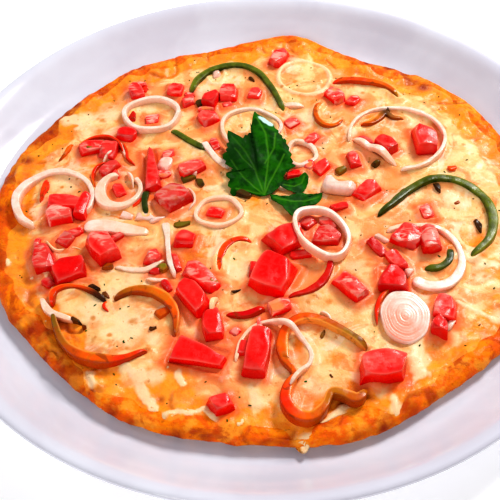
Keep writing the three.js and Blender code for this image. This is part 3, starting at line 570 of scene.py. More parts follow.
def chunk(bm, x, y, long, wide, high, turn, taper, cut=0.0, dark=0.0, steps=(16, 13, 8), edge=0.5, more=None,
          facets=6, ragged=0.55, notch=0.0):
    """A cut chunk: a tapered box with its foot sunk, and flat facets where the knife went.
    cut is its share of flesh, edge its rounding, and notch the depth of a dent in its side."""
    tall = high + SINK
    half = np.array((long / 2, wide / 2, tall / 2))
    seed = x * 0.13 + y * 0.07
    fleshy = min(cut, 1)

    def rule(grid):
        u, v, t = np.sin(grid.T * math.pi / 2)
        draw = 1 - 0.1 * np.abs(u * v) - 0.04 * (t + 1)
        points = rounded(np.column_stack((u, v, t)) * half, half, min(edge, 0.48 * wide, 0.48 * tall))
        points[:, 0] *= draw
        points[:, 1] *= draw * (1 - taper * (u + 1) / 2)
        points[:, 1] -= notch * wide * bell(u, 0.4) * ramp(v, -0.2, 1)
        points[:, 0] += 0.05 * long * t * chance(x, 3)
        points[:, 1] += 0.06 * wide * (t * chance(y, 5) + u * np.abs(v) * chance(x, y, 7))
        upper = ramp(t, 0.3, 0.9)
        flesh, shade = cut * upper, np.full(len(u), float(dark))
        for number in range(facets):
            facing = knife_side(number, facets, x, y)
            height = points @ facing
            over = height - height.max() * (0.82 + 0.1 * chance(number, x, y))
            points = points - np.maximum(over, 0)[:, None] * facing
            shaved = ramp(over, -0.25, 0.25)
            flesh = flesh + shaved * (fleshy * (0.7 + 0.5 * chance(number, y)) - flesh)
            shade = shade + shaved * (0.18 * chance(x, number) + 0.04)
        bump = min(6, 0.6 * long)
        points += ragged * np.column_stack([grain(points, bump, seed + k) for k in (0, 2, 4)]) * (1, 1, 0.8)
        grains = grain(points, 1.9, seed + 6) + 1.3 * grain(points, 4.2, seed + 9)
        points[:, 2] += upper * (0.1 + 0.3 * fleshy) * grains
        px, py = turned(points[:, 0], points[:, 1], math.radians(turn))
        foot = 1 + 0.06 * ramp(t, 0, -1)
        z = cheese_top(x, y) + high - tall / 2 + points[:, 2]
        # Painted highlight along the upper edges of the chunk, kept in the layer "edge"
        edge_highlight = np.sort(np.abs(np.column_stack((u, v, t))), axis=1)[:, 1] ** 9
        flesh = np.clip(flesh + 0.3 * fleshy * grain(points, 3.5, seed + 8), 0, 1.2)
        values = {"flesh": flesh, "edge": edge_highlight * upper, "dark": np.clip(shade, 0, 1), "up": (t + 1) / 2}
        values.update({key: np.full(len(u), value) for key, value in (more or {}).items()})
        return np.column_stack((x + px * foot, y + py * foot, z)), values

    block(bm, steps, rule)


def along_strip(u, numbers):
    return np.interp(u, np.linspace(-1, 1, len(numbers)), numbers)


def strip(bm, wall, band, path, hills=(), values=None, widths=(1, 1), sides=(6, 5), tip=0.0):
    """A strip with rounded edges, swept along a flat curve and laid on the cheese and over
    hills. widths is its width along it, and tip how far its ends taper."""
    line = spline(path, STRIP_GAP)
    run = np.linspace(-1, 1, len(line))
    tangent = np.gradient(line, axis=0)
    tangent /= np.linalg.norm(tangent, axis=1, keepdims=True)
    normal = np.column_stack((tangent[:, 1], -tangent[:, 0]))
    seed = path[0][0] * 0.31 + path[0][1] * 0.17
    length = STRIP_GAP * len(line)
    half = np.array(((band + SINK) / 2, wall / 2))

    def rule(grid):
        u = grid[:, 0]
        v, t = np.sin(grid[:, 1:].T * math.pi / 2)
        ease = np.clip((1 - np.abs(u)) * length / 2 / (wall * 0.5 + tip), 0, 1)
        ease = np.sqrt(1 - (1 - ease) ** 2) * 0.6 + 0.4
        section = rounded(np.column_stack((t, v)) * half, half, min(half) * 0.4)
        middle, side = (np.column_stack([np.interp(u, run, c) for c in rows.T]) for rows in (line, normal))
        place = u * length / 2
        slow = np.column_stack((place, np.zeros_like(u)))
        swell = along_strip(u, widths) + 0.16 * grain(slow, 9, seed) + 0.07 * grain(slow, 3, seed + 3)
        lean = 0.5 * grain(slow, 14, seed + 5) * ramp(t, -0.4, 1)
        out = section[:, 1] * swell * ease + lean
        out = out + 0.12 * grain(np.column_stack((place, v * 2)), 1.6, seed + 7)
        up = section[:, 0] * np.where(section[:, 0] > 0, ease, 1)
        up = up + ramp(t, 0, 1) * (0.35 * grain(slow, 8, seed + 1) + 0.15 * grain(slow, 2.5, seed + 6))
        z = cheese_top(*middle.T) + (band - SINK) / 2 + up
        z = z + patches(*middle.T, hills) - 0.5 * tip / (tip + 1) * band * (1 - ease)
        named = {"across": v, "up": (t + 1) / 2}
        named.update({key: along_strip(u, numbers) for key, numbers in (values or {}).items()})
        return np.column_stack((middle + side * out[:, None], z)), named

    block(bm, (len(line) - 1, *sides), rule)


def ring(bm, at, radii, turn, wall, band, lift, slope, clear=0.0):
    """A closed ring, round or oval, which may be lifted and tipped"""
    (x, y), (long, wide) = at, radii
    half = np.array(((band + SINK) / 2, wall / 2))

    def rule(grid):
        angle = grid[:, 0] * math.pi
        v, t = np.sin(grid[:, 1:].T * math.pi / 2)
        section = rounded(np.column_stack((t, v)) * half, half, min(half) * 0.3)
        wobble = 0.4 * np.sin(3 * angle + x) + 0.25 * np.sin(5 * angle + y)
        around = np.column_stack((np.cos(angle), np.sin(angle))) * 10
        swell = 1 + 0.15 * grain(around, 6, x * 0.3) + 0.06 * grain(around, 2.2, y * 0.3)
        out = section[:, 1] * swell * (0.92 - 0.2 * t) + wobble
        px, py = (long - wall / 2 + out) * np.cos(angle), (wide - wall / 2 + out) * np.sin(angle)
        px, py = turned(px, py, math.radians(turn))
        pz = section[:, 0] + (band - SINK) / 2 + ramp(t, 0, 1) * 0.35 * grain(around, 7, y * 0.2)
        pz = pz + lift + slope[0] * px + slope[1] * py + cheese_top(x + px, y + py)
        thin = np.clip(clear + 0.35 * grain(around, 8, x * 0.2), 0, 1)
        return np.column_stack((x + px, y + py, pz)), {"across": v, "up": (t + 1) / 2, "clear": thin}

    block(bm, RING_STEPS, rule, closed=True)


# Finishes

# Bumps of a noise of scale 1 are about this many millimetres across
UNIT_BUMP = 600


def colour(code):
    """A linear colour from six sRGB digits"""
    parts = [int(code[i:i + 2], 16) / 255 for i in (0, 2, 4)]
    return (*[p / 12.92 if p < 0.04045 else ((p + 0.055) / 1.055) ** 2.4 for p in parts], 1.0)


class Web:
    """A node tree, written a node at a time. An input is a number, a colour or a socket."""

    def __init__(self, tree):
        self.tree = tree

    def node(self, kind, out=0, inputs=(), **settings):
        made = self.tree.nodes.new("ShaderNode" + kind)
        for key, value in settings.items():
            setattr(made, key, value)
        for key, value in dict(inputs).items():
            self.feed(made.inputs[key], value)
        return made.outputs[out]

    def feed(self, socket, value):
        if isinstance(value, bpy.types.NodeSocket):
            self.tree.links.new(value, socket)
        else:
            socket.default_value = value

    def math(self, operation, a, b=0.0):
        return self.node("Math", 0, {0: a, 1: b}, operation=operation)

    def mix(self, share, a, b, blend="MIX"):
        return self.node("Mix", 2, {0: share, 6: a, 7: b}, data_type="RGBA", blend_type=blend)

    def span(self, value, low, high, to_low=0.0, to_high=1.0):
        return self.node("MapRange", 0, {0: value, 1: low, 2: high, 3: to_low, 4: to_high},
                         interpolation_type="SMOOTHSTEP")

    def noise(self, place, size, detail=3.0, rough=0.55, warp=0.0):
        """Noise from 0 to 1 with bumps about size millimetres across"""
        return self.node("TexNoise", 0, {"Vector": place, "Scale": UNIT_BUMP / size, "Detail": detail,
                                         "Roughness": rough, "Distortion": warp})

    def attribute(self, name, times=None):
        """A layer of numbers, as it is or multiplied"""
        numbers = self.node("Attribute", 2, attribute_name=name)
        return numbers if times is None else self.math("MULTIPLY", numbers, times)

    def spots(self, below, code, size, low, high, most, **kind):
        """A colour over the one below, in noisy spots about size millimetres across"""
        where = self.noise(self.node("TexCoord", 3), size, **kind)
        return self.mix(self.span(where, low, high, 0.0, most), below, colour(code))

    def tinge(self, below, code, name, low=0.0, high=1.0, most=1.0):
        """A colour over the one below, where a layer of numbers goes from low to high"""
        return self.mix(self.span(self.attribute(name), low, high, 0.0, most), below, colour(code))


def effect(name, inputs, outputs, build):
    """A node group with named inputs and outputs"""
    tree = bpy.data.node_groups.new(name, "ShaderNodeTree")
    for label, kind, value in inputs:
        socket = tree.interface.new_socket(name=label, in_out="INPUT", socket_type="NodeSocket" + kind)
        if value is not None:
            socket.default_value = value
    for label, kind in outputs:
        tree.interface.new_socket(name=label, in_out="OUTPUT", socket_type="NodeSocket" + kind)
    start, end = tree.nodes.new("NodeGroupInput"), tree.nodes.new("NodeGroupOutput")
    for label, value in build(Web(tree), start.outputs).items():
        tree.links.new(value, end.inputs[label])
    return tree


def use(web, tree, **inputs):
    made = web.tree.nodes.new("ShaderNodeGroup")
    made.node_tree = tree
    for label, value in inputs.items():
        web.feed(made.inputs[label.replace("_", " ")], value)
    return made.outputs


def two_tone(web, given):
    """Blotches of a second colour, with soft or hard edges"""
    spots = web.noise(given["Place"], UNIT_BUMP, 4.0, 0.6, 0.4)
    return {"Colour": web.mix(web.span(spots, given["From"], given["To"]), given["Base"], given["Blotch"])}


def wet_film(web, given):
    """Patches of wet shine, and the small bumps of a wet surface"""
    broad = web.noise(given["Place"], UNIT_BUMP)
    closer = web.node("VectorMath", 0, {0: given["Place"], 3: 4.0}, operation="SCALE")
    fine = web.noise(closer, UNIT_BUMP, 4.0, 0.6)
    return {
        "Roughness": web.span(broad, 0.35, 0.65, given["Wet"], given["Dry"]),
        "Height": web.math("ADD", web.math("MULTIPLY", broad, 0.7), web.math("MULTIPLY", fine, 0.3)),
    }


TWO_TONE = effect("two_tone", (
    ("Place", "Vector", None), ("From", "Float", 0.4), ("To", "Float", 0.6),
    ("Base", "Color", None), ("Blotch", "Color", None)), (("Colour", "Color"),), two_tone)
WET_FILM = effect("wet_film", (
    ("Place", "Vector", None), ("Wet", "Float", 0.15), ("Dry", "Float", 0.4)),
    (("Roughness", "Float"), ("Height", "Float")), wet_film)


def place_at(web, size, stretch=(1, 1, 1)):
    """Object coordinates, scaled so that a noise of scale 1 has bumps of about size millimetres"""
    where = web.node("TexCoord", 3)
    return web.node("Mapping", 0, {"Vector": where, "Scale": [s / size / MM for s in stretch]})


def blotches(web, size, base, other, low=0.4, high=0.6, stretch=(1, 1, 1)):
    return use(web, TWO_TONE, Place=place_at(web, size, stretch), From=low, To=high,
               Base=colour(base), Blotch=colour(other))[0]


def blank(name):
    """A new material, its node tree and its shader"""
    made = bpy.data.materials.new(name)
    made.use_nodes = True
    return made, Web(made.node_tree), made.node_tree.nodes["Principled BSDF"]


def food(name, build, coat=0.0, soft=0.0, soft_reach=(1, 1, 1), soft_scale=1.5, specular=0.3, size=2.0,
         wet=0.15, dry=0.4, depth=0.3, bump=0.6):
    """A moist food finish. build gives its colour, and a height or None."""
    made, web, shader = blank(name)
    base, extra_height = build(web)
    film = use(web, WET_FILM, Place=place_at(web, size), Wet=wet, Dry=dry)
    height = film["Height"]
    if extra_height is not None:
        height = web.math("ADD", height, extra_height)
    web.feed(shader.inputs["Base Color"], base)
    web.feed(shader.inputs["Roughness"], film["Roughness"])
    web.feed(shader.inputs["Normal"], web.node(
        "Bump", 0, {"Height": height, "Distance": depth * MM, "Strength": bump}))
    for label, value in (("Coat Weight", coat), ("Coat Roughness", 0.12), ("Subsurface Weight", soft),
                         ("Subsurface Radius", soft_reach), ("Subsurface Scale", soft_scale * MM),
                         ("Specular IOR Level", specular)):
        shader.inputs[label].default_value = value
    return made


def baked_orange(web):
    """Golden dough with oil in it: the colour of the rim, and of cheese baked onto the rim"""
    golden = blotches(web, 8, "FF8600", "F06000")
    light = web.spots(golden, "FFA832", 6, 0.5, 0.62, 0.65, detail=4.0, rough=0.6)
    brown = web.spots(light, "B83E00", 9, 0.53, 0.64, 0.8, detail=5.0, rough=0.65, warp=0.5)
    return web.spots(brown, "C65600", 2, 0.58, 0.7, 0.6)


def crisp(web, name, low, high, most=1.0):
    """A layer of numbers with an uneven, crisper edge"""
    ragged = web.math("SUBTRACT", web.noise(web.node("TexCoord", 3), 4, 4.0, 0.6), 0.5)
    uneven = web.math("ADD", web.attribute(name), web.math("MULTIPLY", ragged, 1.3))
    return web.span(uneven, low, high, 0.0, most)


def cheese_colour(web):
    cloudy = {"detail": 4.0, "rough": 0.6, "warp": 0.8}
    cream = blotches(web, 8, "F4CE90", "F0B66E")
    peach = web.spots(cream, "EE8C46", 12, 0.46, 0.56, 0.75, **cloudy)
    stain = web.spots(peach, "E2761E", 8, 0.55, 0.66, 0.75, **cloudy)
    white = web.spots(stain, "FBDAB4", 9, 0.55, 0.64, 0.7, **cloudy)
    amber = web.mix(0.45, baked_orange(web), colour("FFA630"))
    # Scorched brown, which also carries painted shade in the creases of the baked edge
    baked = web.mix(web.attribute("scorch_and_shade"), amber, colour("962C02"))
    warm = web.mix(crisp(web, "golden", 0.25, 0.75), white, baked)
    pink = web.mix(web.attribute("juice", 0.8), warm, colour("E85A2A"))
    pale = web.mix(crisp(web, "pale", 0.1, 0.8, 0.85), pink, colour("F7D4A4"))
    spotted = web.spots(pale, "C2721A", 1.8, 0.66, 0.73, 0.65, detail=2.0)
    return web.tinge(spotted, "CE7404", "toasted", 0.35, 1.0, 0.8), None


def dough_colour(web):
    pale = web.mix(web.attribute("pale"), baked_orange(web), colour("FBD3A0"))
    # Scorched brown, which also carries painted shade in the creases, along the foot and on the lower-left
    # side
    return web.mix(web.attribute("scorch_and_shade"), pale, colour("962C02")), None


def tomato_colour(web):
    skin = blotches(web, 7, "FF0200", "EE0002", 0.35, 0.7)
    flesh = blotches(web, 6, "FF1A14", "FF6458", 0.36, 0.58, (1, 0.6, 0.4))
    pulp = web.mix(web.attribute("flesh"), skin, flesh)
    streaks = web.noise(place_at(web, 3.4, (0.4, 1, 0.5)), UNIT_BUMP, 4.0, 0.6, 0.8)
    pale = web.mix(web.span(streaks, 0.47, 0.6, 0.0, 0.85), pulp, colour("FFB4A2"))
    fleshy = web.mix(web.span(web.attribute("flesh"), 0.2, 0.7), pulp, pale)
    baked = web.tinge(fleshy, "F4914A", "flesh", 0.95, 1.15, 0.75)
    # Painted highlight on the upper edges of the chunks
    rim = web.mix(web.attribute("edge", 0.45), baked, colour("FF8A78"))
    deep = web.mix(web.attribute("dark"), rim, colour("A00208"), "MULTIPLY")
    # Painted shade: the lower sides of each chunk darker red
    return web.tinge(deep, "CC0600", "up", 0.7, 0.2, 0.65), None


def onion_colour(web):
    flesh = blotches(web, 5, "F6DDD2", "EAC2AE", 0.35, 0.65)
    lines = web.math("SINE", web.attribute("across", 11.0))
    lined = web.mix(web.span(lines, 0.3, 1.0, 0.0, 0.2), flesh, colour("FFEDE6"))
    blush = web.mix(web.attribute("tint"), lined, colour("F0957A"))
    thin = web.mix(web.attribute("clear", 0.9), blush, colour("F2BE8E"))
    low = web.tinge(thin, "E9AA78", "up", 0.9, 0.3, 0.75)
    return low, web.math("MULTIPLY", lines, 0.06)


def green_colour(web):
    skin = blotches(web, 5, "546406", "263A02", 0.38, 0.62)
    flesh = web.tinge(skin, "7A7C16", "across", 0.0, -0.9, 0.8)
    # Painted highlight: the top of the strip lighter
    top = web.tinge(flesh, "A2A23A", "up", 0.85, 1.0, 0.15)
    return web.mix(web.attribute("dark"), top, colour("1C2A06")), None


def orange_colour(web):
    tones = web.tree.nodes.new("ShaderNodeValToRGB")
    stops = tones.color_ramp.elements
    stops[0].color = colour("86761A")
    stops[1].color = colour("CC0008")
    for at, code in ((0.3, "CC6404"), (0.55, "F66002"), (0.75, "F23000")):
        stops.new(at).color = colour(code)
    web.feed(tones.inputs[0], web.attribute("tint"))
    skin = web.spots(tones.outputs[0], "D02C04", 6, 0.45, 0.6, 0.4)
    flesh = web.tinge(skin, "FFA648", "across", -0.3, -0.9, 0.7)
    olive = web.spots(flesh, "A0700E", 9, 0.52, 0.62, 0.4, rough=0.6, warp=0.5)
    warm = web.mix(web.span(web.attribute("tint"), 0.6, 0.9), olive, skin)
    edge = web.tinge(warm, "8A2A02", "across", 0.45, 1.0, 0.55)
    toasted = web.spots(edge, "7E3204", 4, 0.58, 0.68, 0.65, rough=0.6, warp=0.6)
    return web.mix(web.attribute("dark"), toasted, colour("2A1204")), None


def leaf_colour(web):
    green = blotches(web, 5, "1B6200", "083A00", 0.35, 0.65)
    veined = web.mix(web.attribute("vein", 0.7), green, colour("4A8C16"))
    # Painted shade on the parsley blade's fold and left half; random tone on the herb flakes
    shade = web.mix(web.attribute("dark"), veined, colour("082E02"))
    return web.mix(web.attribute("glint"), shade, colour("BFE6DA")), web.attribute("vein", 0.8)


CHEESE = food("cheese_melted", cheese_colour, coat=0.05, soft=0.12, soft_reach=(1, 0.5, 0.2), soft_scale=2.0,
              specular=0.2, size=2.2, wet=0.22, dry=0.5, depth=0.5, bump=0.7)
DOUGH = food("dough_baked", dough_colour, coat=0.03, soft=0.02, soft_reach=(1, 0.4, 0.1), soft_scale=2.0,
             specular=0.08, size=1.6, wet=0.25, dry=0.55, depth=0.8, bump=0.9)
TOMATO = food("tomato_wet", tomato_colour, coat=0.12, soft=0.04, soft_reach=(1, 0.1, 0.05), specular=0.16,
              size=2.4, wet=0.12)
ONION = food("onion_translucent", onion_colour, coat=0.1, soft=0.5, soft_reach=(1, 0.8, 0.7), soft_scale=3.0,
             specular=0.35, size=3.0, wet=0.18, dry=0.35, depth=0.2, bump=0.4)
GREEN = food("pepper_green_skin", green_colour, coat=0.03, soft=0.03, soft_reach=(0.5, 0.6, 0.1),
             specular=0.16, size=3.0, wet=0.18)
ORANGE = food("pepper_orange_skin", orange_colour, soft=0.05, soft_reach=(1, 0.3, 0.05), specular=0.18,
              size=3.0, wet=0.14, dry=0.35, depth=0.2, bump=0.5)
LEAF = food("parsley_green", leaf_colour, soft_scale=1.0, specular=0.06, wet=0.42, dry=0.6)


def glaze():
    """White glaze with a slow ripple"""
    made, web, shader = blank("plate_white_glaze")
    ripple = use(web, WET_FILM, Place=place_at(web, 25), Wet=0.1, Dry=0.16)
    web.feed(shader.inputs["Base Color"], blotches(web, 60, "D9DAE6", "CFCEDB", 0.35, 0.65))
    web.feed(shader.inputs["Roughness"], ripple["Roughness"])
    web.feed(shader.inputs["Normal"], web.node(
        "Bump", 0, {"Height": ripple["Height"], "Distance": 0.1 * MM, "Strength": 0.3}))
    shader.inputs["Coat Weight"].default_value = 0.3
    shader.inputs["Coat Roughness"].default_value = 0.05
    return made


GLAZE = glaze()


# Plate

PLATE_STEPS = 200


def plate():
    profile = [
        (0, FOOT_HEIGHT), (FOOT_RADIUS - FOOT_WIDTH - 2, FOOT_HEIGHT), (FOOT_RADIUS - FOOT_WIDTH, 0.15),
        (FOOT_RADIUS - 3, 0), (FOOT_RADIUS, 0.15), (FOOT_RADIUS + 3, FOOT_HEIGHT),
        (WELL_RADIUS, FOOT_HEIGHT + 1.2), (148, 8.6), (PLATE_RADIUS - 0.9, PLATE_HEIGHT - 2.8),
        (PLATE_RADIUS, PLATE_HEIGHT - 1.2), (PLATE_RADIUS - 1.8, PLATE_HEIGHT),
        (PLATE_RADIUS - 5.5, PLATE_HEIGHT - 1.3), (151, 15.8), (141, 8.6),
        (WELL_RADIUS, PLATE_FLOOR), (120, PLATE_FLOOR), (0, PLATE_FLOOR)]
    curve = spline(profile, 1.2)
    curve[:, 0] = np.clip(curve[:, 0], 0, PLATE_RADIUS)
    curve[:, 1] = np.clip(curve[:, 1], 0, PLATE_HEIGHT)
    curve[0, 0] = curve[-1, 0] = 0
    bm = bmesh.new()
    lathe(bm, curve, PLATE_STEPS)
    finish(bm, "glazed_plate", GLAZE, "plate_glaze", ("plate",))


# Dough

CRUST_STEPS = 900
# Height at which the dough's side meets its upper side, and the section of the side
DOUGH_SEAM = 14.0
DOUGH_SIDE = (
    (118, DOUGH_BOTTOM), (127.5, DOUGH_BOTTOM), (132, 8.4), (PIZZA_RADIUS, 10.6), (133.9, 12.6),
    (131.6, DOUGH_SEAM))
# Darker stretches of the side, each strength, angle and width in degrees: browning, with painted shade on
# the lower-left stretch at -150 degrees
SIDE_BROWNING_AND_SHADE = ((0.8, -150, 24), (0.75, 146, 22), (0.6, -66, 12), (0.6, -30, 10), (0.5, 60, 12))


def crust():
    inner = [(0, DOUGH_BOTTOM), (60, DOUGH_BOTTOM), (118, DOUGH_BOTTOM)]
    outer = spline(DOUGH_SIDE, 0.8)[1:]
    top = [(radius, DOUGH_SEAM) for radius in np.arange(131.0, 104, -0.75)]
    profile = [*inner, *outer, *top, (80, DOUGH_TOP), (0, DOUGH_TOP)]
    bm = started("pale", "scorch_and_shade")
    lathe(bm, profile, CRUST_STEPS)
    at = np.array([v.co for v in bm.verts])
    radius, angle = np.hypot(at[:, 0], at[:, 1]), np.arctan2(at[:, 1], at[:, 0])
    stretch = crust_radius(angle) / PIZZA_RADIUS
    x, y = PIZZA_CENTRE[0] + at[:, 0] * stretch, PIZZA_CENTRE[1] + at[:, 1] * stretch
    upper = (at[:, 2] > DOUGH_SEAM - 0.01) & (radius < 131.8)
    z = np.where(upper, crust_top(x, y), at[:, 2])
    side = ramp(radius, 129, 132) * np.where(at[:, 2] < DOUGH_BOTTOM + 0.05, 0, 1)
    shape = np.column_stack((x, y, z))
    swell = side * (0.9 * lumps(shape, 9, 11.0) + 0.3 * grain(shape, 2.5, 12.0))
    x, y = x + swell * np.cos(angle), y + swell * np.sin(angle)
    swollen = crust_top(x * 0.985, y * 0.985) - DOUGH_SEAM
    z = z + 0.7 * swollen * ramp(at[:, 2], 9.5, DOUGH_SEAM) * np.where(upper, 0, 1)
    pale = bell(radius - 134, 2.5) * ramp(at[:, 2], 10.5, 8.5)
    scorch_and_shade = 0.8 * ramp(lumps(shape, 12, 14.0), 0.25, 0.6) * ramp(radius, 122, 130)
    # Browning along the side, with painted shade on its lower-left stretch
    side_browning_and_shade = along_circle(angle, SIDE_BROWNING_AND_SHADE)
    side_browning_and_shade = side_browning_and_shade * ramp(lumps(shape, 10, 16.0), -0.35, 0.3) * ramp(radius, 118, 128)
    scorch_and_shade = np.maximum(scorch_and_shade, side_browning_and_shade)
    dark = patches(x, y, SCORCHED) * (1 + 0.6 * grain(shape, 2.5, 18.0))
    # Painted shade in the creases between the lumps, over the scorched spots
    scorch_and_shade = np.clip(np.maximum(scorch_and_shade, np.maximum(0.6 * creases(x, y), dark)), 0, 1)
    # A thin dark line along the foot of the rim: painted contact shadow, and toasting
    scorch_and_shade = np.maximum(scorch_and_shade, 0.95 * bell(at[:, 2] - 9.0, 1.0) * ramp(lumps(shape, 9, 15.0), -0.3, 0.1))
    paint(bm, bm.verts, {"pale": pale, "scorch_and_shade": scorch_and_shade})
    move(bm.verts, x, y, z)
    finish(bm, "baked_crust", DOUGH, "dough", ("crust",))


# Cheese

# Golden patches and cream patches of the cheese: x, y, reach and strength
GOLDEN = (
    (-45, -106, 15, 1), (-20, -120, 12, 0.9), (8, -124, 12, 0.7), (32, -118, 12, 1), (52, -112, 10, 0.9),
    (78, -96, 14, 0.9), (97, -82, 10, 0.9), (-72, -98, 10, 0.9), (-90, -85, 10, 0.9), (-104, -66, 10, 1),
    (-116, -45, 10, 1), (-121, -20, 11, 1), (-124, 8, 9, 1), (-120, 35, 8, 1), (-114, 62, 8, 0.9),
    (-96, 84, 8, 0.7), (-78, 103, 8, 0.7), (-55, 112, 9, 0.8), (-30, 118, 9, 0.8), (5, 128, 12, 0.9),
    (26, 126, 11, 1), (70, 108, 9, 0.8), (85, 92, 12, 1), (98, 80, 9, 0.8), (112, 58, 8, 0.8),
    (120, 35, 7, 0.8), (-34, -32, 7, 0.9), (100, -28, 8, 1), (106, -44, 8, 0.9), (-12, -77, 5, 0.4),
    (14, -86, 5, 0.8), (26, -92, 6, 0.6), (60, 62, 6, 0.4), (-86, 32, 6, 0.5), (-4, 3, 9, 0.6),
    (-14, 10, 6, 0.5), (-72, 60, 7, 0.4), (-92, 37, 6, 0.5), (-38, 62, 6, 0.4), (-104, 30, 6, 0.4),
    (112, 0, 6, 0.4), (108, -66, 8, 0.6),
)
CREAM = (
    (-82, 73, 9, 0.7), (-93, 72, 6, 0.8), (-104, 70, 4, 0.9), (-64, -70, 14, 0.8), (-80, -60, 9, 0.8),
    (-72, -52, 7, 0.6), (-100, 22, 9, 0.8), (-62, 80, 8, 0.6), (-46, 64, 9, 0.5), (-90, 58, 8, 0.5),
    (-12, -40, 8, 0.8), (-64, -42, 10, 0.6), (-52, -78, 6, 0.6), (-34, 46, 7, 0.5), (28, 66, 8, 0.5),
    (84, 60, 9, 0.6), (40, -40, 8, 0.5), (-20, 10, 7, 0.5), (95, 0, 10, 0.6), (85, 5, 7, 0.5),
    (-14, 95, 9, 0.4), (58, 85, 9, 0.5), (-62, -24, 9, 0.3), (100, -50, 5, 0.6), (64, -93, 6, 0.8),
    (105, -70, 5, 0.5), (-50, -98, 5, 0.7), (-48, -118, 3, 0.9), (-25, -130, 3.5, 0.9),
    (14, -131, 4, 0.9), (52, -118, 3.5, 0.8), (20, 102, 10, 0.4), (18, -88, 6, 0.5), (20, -105, 7, 0.5),
)


def chunk_distance(x, y, one):
    """Distance from the sides of a chunk, below 0 inside it"""
    angle = -math.radians(one[5])
    px, py = x - one[0], y - one[1]
    px, py = turned(px, py, angle)
    dx, dy = np.abs(px) - one[2] / 2 * 0.93, np.abs(py) - one[3] / 2 * 0.93
    return np.hypot(np.maximum(dx, 0), np.maximum(dy, 0)) + np.minimum(np.maximum(dx, dy), 0)


def line_distance(x, y, path):
    """Distance from a line of points"""
    best = np.full(len(x), 1e6)
    for (ax, ay), (bx, by) in zip(path, path[1:]):
        dx, dy = bx - ax, by - ay
        t = np.clip(((x - ax) * dx + (y - ay) * dy) / (dx * dx + dy * dy), 0, 1)
        best = np.minimum(best, np.hypot(x - ax - t * dx, y - ay - t * dy))
    return best


def ring_path(at, radii, turn, wall):
    angles = np.linspace(0, math.tau, 25)
    px, py = (radii[0] - wall / 2) * np.cos(angles), (radii[1] - wall / 2) * np.sin(angles)
    px, py = turned(px, py, math.radians(turn))
    return list(zip(at[0] + px, at[1] + py))


# Pale cheese that ran out over the rim, and pale folds: width, then the line it follows
CREAM_RUNS = (
    (8.0, ((-62, -93), (-56, -98))),
    (4.5, ((-57, -97), (-54, -107), (-50.5, -113), (-50, -120), (-46, -127))),
    (3.0, ((-48, -119), (-42, -115.5), (-34, -116.5), (-29, -114), (-25, -119))),
    (4.0, ((-27, -127), (-23, -132))), (4.5, ((29, -116), (19, -127), (12, -136))),
    (3.0, ((51, -112), (52.5, -126))), (7.5, ((64, -85), (64, -100))),
    (3.0, ((86, -64), (96, -69), (104, -74))), (7.0, ((-105, 72), (-98, 69), (-93, 65))),
    (4.0, ((-78.5, -95), (-77, -100))), (5.0, ((-9, -106), (-6, -113))),
    (2.4, ((-123, -28), (-122.5, -31))), (3.0, ((-96, -90), (-94, -93))),
    (4.0, ((-40, -97), (-38, -102))), (3.0, ((90, -19), (94.5, -29), (99, -36))),
    (5.0, ((91, -37), (99, -40), (107, -42))), (2.5, ((-104, -37), (-101, -45), (-97, -51))),
)
# Cheese that tomato juice has coloured: x, y, reach and strength
JUICY = (
    (-42, -42, 14, 0.9), (-24, -66, 12, 0.8), (-2, -66, 12, 0.7), (-4, -50, 10, 0.7), (14, -32, 14, 0.8),
    (34, -22, 12, 0.7), (62, -36, 14, 0.8), (-46, 10, 14, 0.7), (-62, -28, 10, 0.5), (-96, -10, 12, 0.7),
    (-66, 34, 14, 0.6), (-30, 74, 12, 0.5), (32, 30, 12, 0.6), (56, 36, 12, 0.8), (8, -90, 10, 0.5),
    (-54, -60, 10, 0.5), (24, 12, 10, 0.6), (-16, 80, 8, 0.5), (6, -48, 40, 0.32), (-50, 8, 30, 0.26),
    (60, -36, 26, 0.3), (4, -100, 18, 0.3), (40, 40, 22, 0.2),
)
# Toasted spots of the cheese: x, y and reach
TOASTED = (
    (-78, -76.5, 2.2), (-71, -75.5, 1.8), (-61, -68, 3), (-79.5, -65, 2), (-62.5, -83, 1.8),
    (-81, 79.5, 2), (-84, 68, 3), (-87, 70, 2), (-101.5, 18.5, 1.4), (-94, 22.5, 1.2), (-118, 6, 1.6),
    (-117, 11, 1.2), (58, 84, 1.8), (64, 84, 1.2), (106, 40, 1.4), (110, 13, 1.4), (101, -49, 1.8),
    (94, -51, 1.2), (96, -48, 1.2), (18.5, -61, 1.8), (28, -61, 2.4), (31, -92, 1.4), (36, -94, 1.2),
    (-7, -97, 1.4), (13.5, 90, 1.8), (21, 95, 2.4), (-10, 60, 2), (47, 86, 1.4),
)
# Faint onion rings under the cheese: centre, radii and height
HIDDEN_RINGS = ((26.5, 98, 14.5, 15, 1.5), (-23, 104, 5, 8, 0.8))


CHEESE_CUTS = 300
CHEESE_FOOT = 11.6


